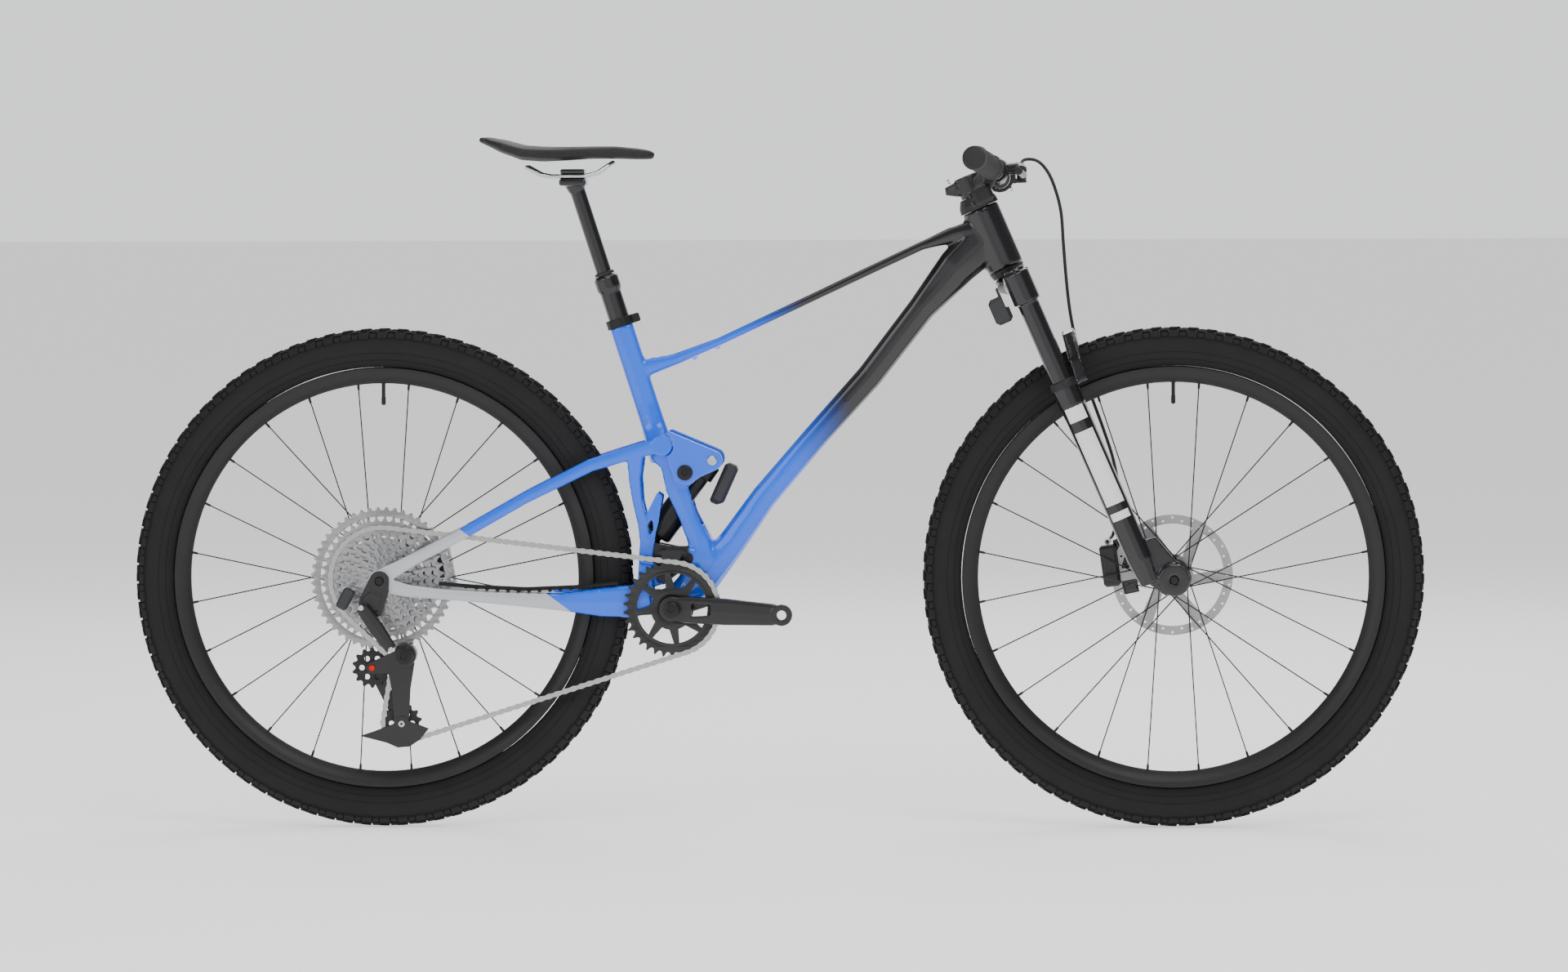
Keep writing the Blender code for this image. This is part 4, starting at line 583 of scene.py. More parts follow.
def toothed(centre, teeth, turn=0.0, tip=0.0042, root=0.0034):
    """A sprocket's outline: round roots that hold the rollers, and short teeth between them."""
    pitch = pitch_radius(teeth)
    shape = ((-0.5, tip), (-0.4, tip * 0.8), (-0.3, 0.0), (-0.17, -root * 0.8), (0.0, -root),
             (0.17, -root * 0.8), (0.3, 0.0), (0.4, tip * 0.8))
    out = []
    for i in range(teeth):
        for share, height in shape:
            out.append(polar(centre, pitch + height, turn + 2 * math.pi * (i + share) / teeth))
    return out


# ---------------------------------------------------------------- finishes
class BIKE_OT_finishes(bpy.types.Operator):
    """Mixes every finish that the bike wears"""

    bl_idname = "bike.finishes"
    bl_label = "Finishes"

    def execute(self, context):
        paint = context.scene.bike_paint
        GROUPS["surface_grain"] = build_grain_group()
        GROUPS["light_dust"] = build_dust_group()
        GROUPS["brushed_lines"] = build_brushed_group()
        fade = (1.0, 0.0, 0.44)
        height = 0.44 * 0.68
        two_tone("frame_paint", paint.blue, paint.black, fade, paint.fade_start + height,
                 paint.fade_end + height)
        cut = 0.757 * -0.468 + 0.447
        two_tone("stay_paint", paint.silver, paint.blue, (0.757, 0.0, 1.0), cut - 0.001, cut + 0.001)
        grained("link_paint", paint.blue, 0.25, grain=2600, bump=0.03, coat=1.0, dust=0.05)
        grained("fork_paint", paint.black, 0.2, grain=2600, bump=0.02, spread=0.05, coat=0.7, dust=0.01,
                specular=0.2)
        grained("stripe_paint", paint.stripe, 0.4, grain=2600, bump=0.02, dust=0.05)
        grained("silver_trim", (0.55, 0.56, 0.58), 0.3, grain=1800, bump=0.04, metallic=1.0)
        grained("tyre_rubber", (0.011, 0.011, 0.012), 0.8, grain=700, bump=0.5, dust=0.04, specular=0.22)
        grained("grip_rubber", (0.03, 0.03, 0.032), 0.75, grain=1400, bump=0.35, dust=0.1)
        grained("hose_jacket", (0.014, 0.014, 0.015), 0.45, grain=1800, bump=0.1)
        grained("rim_black", (0.012, 0.012, 0.013), 0.45, grain=1500, bump=0.08)
        grained("anodised_black", (0.012, 0.012, 0.013), 0.36, grain=1500, bump=0.08, metallic=0.3)
        grained("forged_black", (0.012, 0.012, 0.013), 0.32, grain=1100, bump=0.06, spread=0.15, coat=0.2)
        grained("moulded_grey", (0.030, 0.031, 0.034), 0.5, grain=1300, bump=0.15)
        grained("moulded_black", (0.013, 0.013, 0.014), 0.48, grain=1300, bump=0.15)
        grained("saddle_cover", (0.012, 0.012, 0.013), 0.6, grain=520, bump=0.6, spread=0.16, dust=0.03)
        grained("red_anodised", (0.6, 0.02, 0.015), 0.28, grain=1500, bump=0.05, metallic=1.0)
        brushed("bright_steel", (0.62, 0.62, 0.61), 0.24, (1.0, 6.0, 1.0), 160.0)
        brushed("rotor_steel", (0.36, 0.36, 0.365), 0.34, (1.0, 1.0, 1.0), 420.0)
        brushed("cog_steel", (0.30, 0.30, 0.305), 0.34, (1.0, 1.0, 1.0), 300.0)
        brushed("chain_steel", (0.42, 0.415, 0.40), 0.3, (1.0, 1.0, 1.0), 500.0)
        return {"FINISHED"}


# ---------------------------------------------------------------- wheels
def tread_knobs(axle, height, rows):
    """Low blocks in a centre pair, a shoulder pair and an edge pair, round the tyre."""
    seeds = []
    tall = WHEEL_RADIUS - height - TYRE_MIDDLE
    kinds = ((0.14, 0.0105, 0.0085, 0.0), (0.42, 0.0115, 0.0080, 0.5), (0.80, 0.0150, 0.0100, 0.0),
             (0.80, 0.0090, 0.0080, 0.5))
    for slope, length, width, step in kinds:
        for side in (-1, 1):
            shift = 0.5 if side == 1 else 0.0
            out = Vector((0, math.sin(slope) * side, math.cos(slope)))
            centre = Vector((0, TYRE_HALF * math.sin(slope) * side, TYRE_MIDDLE + tall * math.cos(slope)))
            lean = Matrix.Rotation(-slope * side, 4, "X")
            seed = slab("knob", (length, width, height * 2), centre - out * height * 0.12, 0.0007, lean, 1)
            seeds.append((seed, step + shift * 0.4))
    made = []
    for seed, step in seeds:
        for i in range(rows):
            turn = Matrix.Rotation(2 * math.pi * (i + step) / rows, 4, "Y")
            made.append(copied(seed, Matrix.Translation(axle) @ turn))
    for seed, _ in seeds:
        bpy.data.objects.remove(seed, do_unlink=True)
    return joined(made, "knobs")


def tyre(name, axle, settings):
    """A round casing with two fine lines on each wall, under its tread."""
    height = settings.knob_height * 0.85
    tall = WHEEL_RADIUS - height - TYRE_MIDDLE
    profile = []
    for i in range(25):
        angle = math.radians(-138 + 276 * i / 24)
        profile.append((TYRE_MIDDLE + tall * math.cos(angle), TYRE_HALF * math.sin(angle)))
    profile += [(RIM_EDGE + 0.001, 0.0135), (RIM_EDGE + 0.001, -0.0135)]
    carcass = lathe(name, profile, axle, steps=128, angle=60)
    ribs = []
    for side in (-1, 1):
        for share in (0.62, 0.88):
            angle = math.radians(180 - 90 * share)
            radius, across = TYRE_MIDDLE + tall * math.cos(angle), TYRE_HALF * math.sin(angle)
            ring = [(radius - 0.0009, (across - 0.001) * side), (radius, (across + 0.0006) * side),
                    (radius + 0.0009, (across - 0.001) * side)]
            ribs.append(lathe("bead_line", ring, axle, steps=96, angle=60))
    return joined([carcass, *ribs, tread_knobs(axle, height, settings.knob_rows)], name)


def rim(name, axle):
    """A hoop with straight walls and a well between its two edges."""
    low = RIM_EDGE - RIM_DEPTH
    outer = [(RIM_EDGE, RIM_HALF - 0.001), (RIM_EDGE - 0.001, RIM_HALF), (RIM_EDGE - 0.005, RIM_HALF),
             (RIM_EDGE - 0.010, RIM_HALF - 0.0008), (low + 0.006, 0.0092), (low + 0.0015, 0.0050),
             (low, 0.0028)]
    profile = outer + [(r, -h) for r, h in outer[::-1]]
    profile += [(RIM_EDGE, -RIM_HALF + 0.0035), (RIM_EDGE - 0.012, -0.006), (RIM_EDGE - 0.012, 0.006),
                (RIM_EDGE, RIM_HALF - 0.0035)]
    return lathe(name, profile, axle, steps=128, angle=28)


def spokes(name, axle, flanges, settings):
    """Straight-pull spokes laced two-cross, with their nipples."""
    wires, nipples = [], []
    low = RIM_EDGE - RIM_DEPTH + 0.003
    for i in range(settings.spokes):
        at_rim = 2 * math.pi * (i + 0.5) / settings.spokes
        flange = flanges[i % 2]
        lead = 1 if (i // 2) % 2 else -1
        at_hub = at_rim + lead * math.radians(60)
        start = axle + Vector((math.cos(at_hub), 0, math.sin(at_hub))) * (HUB_FLANGE - 0.003)
        start.y += flange + lead * 0.0013
        end = axle + Vector((math.cos(at_rim), 0, math.sin(at_rim))) * low
        end.y += math.copysign(0.002, flange) + lead * 0.0003
        wires.append(rod("spoke", [start, end], settings.spoke_width / 2, 2))
        nipple = [(0, -0.002), (0.0019, -0.002), (0.0019, 0.009), (0.0014, 0.0112), (0, 0.0114)]
        nipples.append(lathe("nipple", nipple, end, (start - end).normalized(), steps=10, closed=False))
    return joined(wires, name), joined(nipples, name + "_nipples")


def hub(name, axle, left, right, flanges, rotor_y):
    """The turned hub shell with its two spoke flanges and the rotor's seat."""
    first, second = flanges[1], flanges[0]
    profile = [(0.0068, right), (0.0100, right), (0.0105, right + 0.002), (0.0150, first - 0.008),
               (0.0170, first - 0.0045), (0.0255, first - 0.0028), (0.0262, first), (0.0255, first + 0.0028),
               (0.0175, first + 0.0048), (0.0135, first + 0.011), (0.0125, (first + second) / 2),
               (0.0135, second - 0.011), (0.0175, second - 0.0048), (0.0255, second - 0.0028),
               (0.0262, second), (0.0255, second + 0.0028), (0.0185, second + 0.0045),
               (0.0180, rotor_y - 0.0012),
               (0.0170, rotor_y - 0.0010), (0.0170, rotor_y + 0.0036), (0.0130, rotor_y + 0.0044),
               (0.0100, left - 0.001), (0.0068, left)]
    return lathe(name, profile, axle, steps=56, angle=30)


def rotor(name, axle, y, radius):
    """A slotted disc on six swept arms."""
    centre = flat(axle)
    rings = [circle(centre, radius, 96), circle(centre, 0.0176, 32)]
    arms, holes, track = 6, 36, radius - 0.0135
    wide = 2 * math.pi / arms
    for i in range(arms):
        start = wide * i
        rings.append(swept(centre, track, start + wide * 0.12, start + wide * 0.88, 9)
                     + swept(centre, 0.031, start + wide * 0.52, start + wide * 0.02, 5))
    for i in range(holes):
        reach = radius - (0.0042 if i % 2 else 0.0088)
        rings.append(circle(polar(centre, reach, 2 * math.pi * i / holes), 0.0019, 8))
    disc = plate(name, rings, y, 0.0018)
    ring = [(0.0120, y + 0.001), (0.0165, y + 0.001), (0.0170, y + 0.0025), (0.0150, y + 0.004),
            (0.0120, y + 0.004)]
    return disc, lathe("lockring", ring, Vector((axle.x, 0, axle.z)), steps=40)


def valve(name, axle):
    """The valve stem through the rim, at the top of the wheel."""
    base = axle + Vector((0, 0, RIM_EDGE - RIM_DEPTH + 0.002))
    profile = [(0, 0), (0.0042, 0), (0.0042, 0.0022), (0.0028, 0.0030), (0.0028, 0.022),
               (0.0033, 0.0225), (0.0033, 0.0330), (0.0016, 0.0345), (0, 0.0345)]
    return lathe(name, profile, base, (0, 0, -1), steps=20, closed=False)


def wheel(prefix, axle, half_hub, flanges, settings):
    """One whole wheel, its disc sized and placed by the working model's own."""
    body = prefix + "_wheel"
    low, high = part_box(prefix + "_brake_rotor")
    rotor_y, rotor_radius = box_middle(prefix + "_brake_rotor").y, (high.x - low.x) / 2
    casing = tyre(prefix + "_tyre_and_tread", axle, settings)
    fit(casing, body, "tyre_rubber", "tyre_rubber", prefix + "_tyre")
    fit(rim(prefix + "_rim_hoop", axle), body, "rim_black", "satin_black", prefix + "_rim")
    wires, nipples = spokes(prefix + "_spokes", axle, flanges, settings)
    fit(wires, body, "anodised_black", "satin_black", prefix + "_hub_and_spokes")
    fit(nipples, body, "anodised_black", "satin_black")
    gap = 0.0005
    shell = hub(prefix + "_hub_shell", axle, half_hub - gap, -half_hub + gap, flanges, rotor_y)
    fit(shell, body, "anodised_black", "satin_black")
    disc, lockring = rotor(prefix + "_rotor_disc", axle, rotor_y, rotor_radius)
    fit(disc, body, "rotor_steel", "bright_steel", prefix + "_brake_rotor")
    fit(lockring, body, "anodised_black", "satin_black")
    fit(valve(prefix + "_valve", axle), body, "anodised_black", "satin_black")


class BIKE_OT_wheels(bpy.types.Operator):
    """Builds both wheels: tread, rim, spokes, hub, disc and valve"""

    bl_idname = "bike.wheels"
    bl_label = "Wheels"

    def execute(self, context):
        settings = context.scene.bike_wheels
        wheel("front", FRONT_AXLE, 0.055, (0.028, -0.034), settings)
        wheel("rear", REAR_AXLE, 0.074, (0.036, -0.022), settings)
        return {"FINISHED"}


# ---------------------------------------------------------------- frame and suspension
class BIKE_OT_frame(bpy.types.Operator):
    """Rounds and paints the main frame, the rear arm and the linkage"""

    bl_idname = "bike.frame"
    bl_label = "Frame and linkage"

    def execute(self, context):
        up = Vector(JOINTS["dropper_travel"]["axis"])
        core = [(0, -0.172), (0.0172, -0.172), (0.0172, -0.0005), (0, -0.0005)]
        tube = lathe("tube_core", core, POST_FOOT, up, steps=48, closed=False)
        fit(polished("main_frame", "main_frame_shell", 0.0022, 10, tube), "frame", "frame_paint",
            "gloss_blue_paint", "main_frame")
        dress([("swingarm", "rear_stays", "rear_arm", 0.0016, 5, "stay_paint", "gloss_blue_paint"),
               ("rocker_link", "rocker_plates", "rocker", 0.0011, 3, "link_paint", "gloss_blue_paint"),
               ("lower_link", "lower_link_yoke", "lower_link", 0.0010, 3, "forged_black", "satin_black")])
        for node, body, voxel, finish in (
                ("headset_lower_cup", "frame", 0.0011, "anodised_black"),
                ("headset_upper_cover", "frame", 0.0011, "moulded_black"),
                ("seat_collar", "frame", 0.0007, "anodised_black"),
                ("bottom_bracket", "frame", 0.0013, "anodised_black"),
                ("chain_guide", "frame", 0.0007, "moulded_black"),
                ("rear_thru_axle", "rear_arm", 0.0008, "anodised_black"),
                ("rear_brake_caliper", "rear_arm", 0.0007, "forged_black"),
                ("shock_body", "shock", 0.0011, "anodised_black"),
                ("shock_control_module", "shock", 0.0011, "moulded_grey"),
                ("shock_air_can", "air_can", 0.0013, "anodised_black")):
            fit(polished(node, node + "_body", voxel, 2), body, finish, "satin_black", node)
        self.guards()
        self.pivots()
        return {"FINISHED"}

    def guards(self):
        """The ribbed strip on the right chainstay."""
        low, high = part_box("chainstay_guard")
        dress([("chainstay_guard", "chainstay_guard_pad", "rear_arm", 0.0008, 2, "tyre_rubber",
                "black_rubber")])
        ribs = []
        first = Vector((high.x - 0.008, high.y - 0.006, high.z - 0.0042))
        last = Vector((low.x + 0.010, low.y + 0.006, low.z + 0.0125))
        count = 17
        for i in range(count):
            share = i / (count - 1)
            spot = first.lerp(last, share) + Vector((0, 0, -0.0115 * math.sin(math.pi * share) ** 0.8))
            ribs.append(slab("rib", (0.0050, 0.0105, 0.0040), spot, 0.0014))
        fit(joined(ribs, "chainstay_guard_ribs"), "rear_arm", "tyre_rubber", "black_rubber")

    def pivots(self):
        """Turned caps and bolt heads at the linkage's pivots, on both sides."""
        out = 0.0500
        for joint, radius, finish in (("rocker_pivot", 0.0115, "anodised_black"),
                                      ("shock_top_eye", 0.0072, "silver_trim")):
            place = Vector(JOINTS[joint]["pos_m"])
            for side, label in SIDES:
                cap = lathe(f"{joint}_cap_{label}", bolt_head(radius, 0.0028), place + SIDEWAYS * side * out,
                            (0, side, 0), steps=32, closed=False)
                fit(cap, "rocker", finish, "satin_black")
        lower = Vector(JOINTS["lower_link_pivot"]["pos_m"])
        for side, label in SIDES:
            cap = lathe(f"lower_pivot_cap_{label}", bolt_head(0.0095, 0.0024),
                        Vector((lower.x, side * FRAME_WALL, lower.z)), (0, side, 0), steps=32, closed=False)
            fit(cap, "frame", "anodised_black", "satin_black")


def bolt_head(radius, height):
    """The profile of a round bolt head with a socket."""
    socket = radius * 0.38
    return [(0, height * 0.3), (socket, height * 0.3), (socket * 1.05, height), (radius * 0.86, height),
            (radius, height * 0.65), (radius, -height * 0.4), (0, -height * 0.4)]


# ---------------------------------------------------------------- fork
def steer_point(t, forward=0.0, y=0.0):
    """A point at a distance up the steering axis from the front axle's foot on it, and in front of it."""
    axis_point = Vector(JOINTS["steering"]["pos_m"])
    foot = axis_point - STEER_UP * (axis_point - FRONT_AXLE).dot(STEER_UP)
    return foot + STEER_UP * t + STEER_FORWARD * forward + SIDEWAYS * y


class BIKE_OT_fork(bpy.types.Operator):
    """Rounds and paints the fork, its seals and its plain bars"""

    bl_idname = "bike.fork"
    bl_label = "Fork"

    def execute(self, context):
        dress([
            ("fork_crown_steerer_and_stanchions", "fork_crown_and_uppers", "steering", 0.0017, 4,
             "fork_paint", "gloss_black"),
            ("fork_lowers", "fork_lower_legs", "fork_lower", 0.0018, 4, "fork_paint", "gloss_black"),
            ("front_brake_caliper", "front_caliper_body", "fork_lower", 0.0008, 2, "forged_black",
             "satin_black"),
            ("front_thru_axle", "front_axle_lever", "fork_lower", 0.0008, 2, "anodised_black",
             "satin_black"),
            ("fork_control_module", "fork_module_case", "steering", 0.0008, 3, "moulded_grey",
             "satin_black")])
        for side, label in SIDES:
            top = steer_point(LEG_TOP, LEG_FORWARD, side * LEG_Y)
            profile = [(0.0166, -0.004), (0.0205, -0.004), (0.0208, 0.001), (0.0196, 0.0065),
                       (0.0172, 0.0082), (0.0166, 0.0082)]
            wiper = lathe(f"dust_wiper_{label}", profile, top, STEER_UP, steps=48)
            fit(wiper, "fork_lower", "moulded_black", "satin_black")
            self.bars(side, label, top)
        return {"FINISHED"}

    def bars(self, side, label, top):
        """Plain light bars on the outer face of each leg."""
        lengths = ((-0.030, 0.026), (-0.072, 0.118), (-0.202, 0.012))
        made = []
        for start, length in lengths:
            profile = [(0.0, 0.0), (BAR_RADIUS, 0.0), (BAR_RADIUS, length), (0.0, length)]
            bar = lathe("bar", profile, top + STEER_UP * (start - length), STEER_UP, steps=48, closed=False)
            take(bar)
            bpy.ops.object.mode_set(mode="EDIT")
            bpy.ops.mesh.select_all(action="SELECT")
            bpy.ops.mesh.bisect(plane_co=(0, side * (LEG_Y + 0.0135), 0), plane_no=(0, -side, 0),
                                clear_outer=True, use_fill=True)
            bpy.ops.object.mode_set(mode="OBJECT")
            made.append(bar)
        fit(joined(made, f"leg_bars_{label}"), "fork_lower", "stripe_paint", "gloss_black")


# ---------------------------------------------------------------- cockpit
def bolt(radius, spot, way):
    return lathe("bolt", bolt_head(radius, 0.0024), spot, way, steps=20, closed=False)


class BIKE_OT_cockpit(bpy.types.Operator):
    """Builds the handlebar, stem, grips, levers and switches"""

    bl_idname = "bike.cockpit"
    bl_label = "Cockpit"

    def execute(self, context):
        for node, body, voxel, rounds, finish in (
                ("stem", "steering", 0.0012, 3, "forged_black"),
                ("handlebar", "steering", 0.0017, 3, "forged_black"),
                ("brake_lever_body_right", "steering", 0.0008, 3, "forged_black"),
                ("brake_lever_body_left", "steering", 0.0008, 3, "forged_black"),
                ("brake_lever_blade_right", "brake_lever_right", 0.0006, 3, "forged_black"),
                ("brake_lever_blade_left", "brake_lever_left", 0.0006, 3, "forged_black"),
                ("shifter_pod", "steering", 0.0007, 3, "moulded_black"),
                ("shift_button_upper", "upper_shift_button", 0.0004, 2, "moulded_grey"),
                ("shift_button_lower", "lower_shift_button", 0.0004, 2, "moulded_grey"),
                ("dropper_remote_body", "steering", 0.0007, 3, "forged_black"),
                ("dropper_remote_lever", "dropper_paddle", 0.0005, 2, "moulded_black")):
            fit(polished(node, node + "_shell", voxel, rounds), body, finish, "satin_black", node)
        for side, label in SIDES:
            self.grip(side, label)
        self.bolts()
        return {"FINISHED"}

    def grip(self, side, label):
        """A ribbed sleeve with an end cap and a clamp collar at its inner end."""
        bar_low, bar_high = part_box("handlebar")
        end = Vector((bar_low.x + 0.0108, bar_high.y * side - side * 0.0018, bar_high.z - 0.0110))
        line = Vector((-0.1917, 0.9743 * side, 0.1183)).normalized()
        length = 0.128
        inner = end - line * (length - 0.002)
        profile = [(0.0115, 0.0), (0.0166, 0.0), (0.0174, 0.0012), (0.0174, 0.0105), (0.0166, 0.0115),
                   (0.0152, 0.0125)]
        rings = 22
        start, stop = 0.016, length - 0.018
        for i in range(rings):
            at = start + (stop - start) * i / rings
            wide = (stop - start) / rings
            swell = 0.0005 * math.sin(math.pi * i / rings)
            profile += [(0.0152 + swell, at), (0.0162 + swell, at + wide * 0.25),
                        (0.0162 + swell, at + wide * 0.75)]
        profile += [(0.0156, stop), (0.0172, length - 0.012), (0.0176, length - 0.005),
                    (0.0168, length - 0.001),
                    (0.0115, length - 0.0005)]
        sleeve = lathe(f"grip_sleeve_{label}", profile, inner, line, steps=56, angle=50)
        fit(sleeve, "steering", "grip_rubber", "black_rubber", f"grip_{label}")
        disc = [(0, 0.0), (0.0152, 0.0), (0.0160, 0.0006), (0.0140, 0.0016), (0.0120, 0.0012), (0, 0.0014)]
        cap = lathe(f"grip_cap_{label}", disc, inner + line * (length - 0.0006), line, steps=40,
                    closed=False)
        fit(cap, "steering", "moulded_black", "satin_black")

    def bolts(self):
        """Face-plate and clamp bolts."""
        low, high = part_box("stem")
        bar = box_middle("handlebar")
        made = []
        for y in (-0.0165, 0.0165):
            for up in (-0.0165, 0.0165):
                spot = Vector((high.x - 0.0045, y, (low.z + high.z) / 2 + up + 0.006))
                made.append(bolt(0.0036, spot, (1, 0, 0.2)))
        for y in (-0.0195, 0.0195):
            spot = Vector((low.x + 0.006, y * 0.75, bar.z - 0.018))
            made.append(bolt(0.0034, spot, (-1, 0, -0.4)))
        fit(joined(made, "stem_bolts"), "steering", "silver_trim", "satin_black")


class BIKE_OT_hose(bpy.types.Operator):
    """Runs the brake hose from the left lever to the caliper, with its fittings"""

    bl_idname = "bike.hose"
    bl_label = "Front brake hose"

    def execute(self, context):
        route = [(0.3606, 0.1326, 0.9769), (0.366, 0.096, 0.990), (0.384, 0.070, 0.990),
                 (0.398, 0.050, 0.978), (0.410, 0.044, 0.955), (0.421, 0.048, 0.915),
                 (0.425, 0.056, 0.865), (0.429, 0.062, 0.815),
                 (0.434, 0.066, 0.770), (0.441, 0.072, 0.732), (0.452, 0.082, 0.690), (0.466, 0.089, 0.640),
                 (0.484, 0.092, 0.590), (0.500, 0.093, 0.540), (0.508, 0.093, 0.490), (0.505, 0.091, 0.452),
                 (0.499, 0.083, 0.430), (0.493, 0.066, 0.424), (0.490, 0.052, 0.4215)]
        points = smooth_line([Vector(p) for p in route], 8)
        hose = rod("brake_hose", points, 0.0025, 4)
        wear(hose, "hose_jacket")
        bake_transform(hose)
        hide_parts("front_brake_hose")
        profile = [(0.0026, 0.0), (0.0050, 0.0), (0.0046, 0.010), (0.0032, 0.022), (0.0026, 0.024)]
        boot = lathe("hose_boot", profile, points[0], points[3] - points[0], steps=24)
        fit(boot, "steering", "grip_rubber", "black_rubber")
        profile = [(0.0026, 0.0), (0.0048, 0.0), (0.0048, 0.006), (0.0038, 0.007), (0.0038, 0.012),
                   (0.0026, 0.013)]
        end = lathe("hose_fitting", profile, points[-1], points[-4] - points[-1], steps=24)
        fit(end, "fork_lower", "silver_trim", "satin_black")
        return {"FINISHED"}


def smooth_line(points, pieces):
    """Points along a smooth curve through the given ones."""
    padded = [2 * points[0] - points[1], *points, 2 * points[-1] - points[-2]]
    out = []
    for i in range(1, len(padded) - 2):
        a, b, c, d = padded[i - 1:i + 3]
        for k in range(pieces):
            t = k / pieces
            square, cube = 2 * a - 5 * b + 4 * c - d, 3 * b - a - 3 * c + d
            out.append(0.5 * (2 * b + (c - a) * t + square * t**2 + cube * t**3))
    return out + [points[-1]]


# ---------------------------------------------------------------- drivetrain
def chain_wheels():
    """(centre, pitch radius, Y, turn) of each wheel that the chain runs on, in its order."""
    pulley = pitch_radius(PULLEY_TEETH)
    return [(flat(CRANK_AXLE), pitch_radius(RING_TEETH), RING_Y, 1),
            (flat(REAR_AXLE), pitch_radius(COG_TEETH[CHAIN_COG]), COG_Y, 1),
            (flat(UPPER_PULLEY), pulley, COG_Y, -1),
            (flat(LOWER_PULLEY), pulley, COG_Y, 1)]


def chain_line():
    """Points close together along the chain's middle line, each with the stretch of chain it is on."""
    wheels = chain_wheels()
    tangents = []
    for (c1, r1, _, s1), (c2, r2, _, s2) in zip(wheels, wheels[1:] + wheels[:1]):
        dx, dz = c2[0] - c1[0], c2[1] - c1[1]
        tangents.append(math.atan2(dz, dx) + math.acos((s2 * r2 - s1 * r1) / math.hypot(dx, dz)))
    route = []
    for i, (centre, radius, y, turn) in enumerate(wheels):
        begin, end = tangents[i - 1], tangents[i]
        if turn == 1:
            begin, end = begin + math.pi, end + math.pi
            sweep = (end - begin) % (2 * math.pi)
        else:
            sweep = -((begin - end) % (2 * math.pi))
        steps = max(4, round(abs(sweep) * radius / 0.002))
        for x, z in swept(centre, radius, begin, begin + sweep, steps + 1):
            route.append((Vector((x, y, z)), i))
    return route


def chain_pins():
    """The places of the chain's pins, one pitch apart, with the wheel that each is on or leaves."""
    route = chain_line()
    points = [p for p, _ in route] + [route[0][0]]
    wheels = [w for _, w in route] + [len(chain_wheels())]
    lengths = [(b - a).length for a, b in zip(points, points[1:])]
    total = sum(lengths)
    count = 2 * round(total / CHAIN_PITCH / 2)
    pitch = total / count
    pins, walked, i = [], 0.0, 0
    for n in range(count):
        target = n * pitch
        while i < len(lengths) - 1 and walked + lengths[i] < target:
            walked += lengths[i]
            i += 1
        share = (target - walked) / max(lengths[i], 1e-9)
        pins.append((points[i].lerp(points[i + 1], share), wheels[i], lengths[i] > CHAIN_PITCH))
    return pins


def link_plate(width, thickness, y):
    """One figure-eight side plate, a pitch long, lying along X."""
    half = CHAIN_PITCH / 2
    outline = []
    for centre, start in ((half, -110), (-half, 70)):
        for k in range(7):
            angle = math.radians(start + 220 * k / 6)
            outline.append((centre + width * math.cos(angle), width * math.sin(angle)))
        outline.append((0.0, width * (0.68 if centre > 0 else -0.68)))
    return plate("link", [outline], y, thickness)


def chain_link(outer):
    """A pair of plates, with the pins' ends on an outer link and the rollers in an inner one."""
    spread, width = (0.00245, 0.0041) if outer else (0.00155, 0.0042)
    pieces = [link_plate(width, 0.0009, side * spread) for side in (-1, 1)]
    half = CHAIN_PITCH / 2
    for x in (-half, half):
        if outer:
            pieces.append(lathe("pin", [(0, -0.0031), (0.0017, -0.0031), (0.0017, 0.0031), (0, 0.0031)],
                                (x, 0, 0), steps=8, closed=False))
        else:
            pieces.append(lathe("roller", [(0, -0.0012), (0.0038, -0.0012), (0.0038, 0.0012), (0, 0.0012)],
                                (x, 0, 0), steps=10, closed=False))
    return joined(pieces, "link")


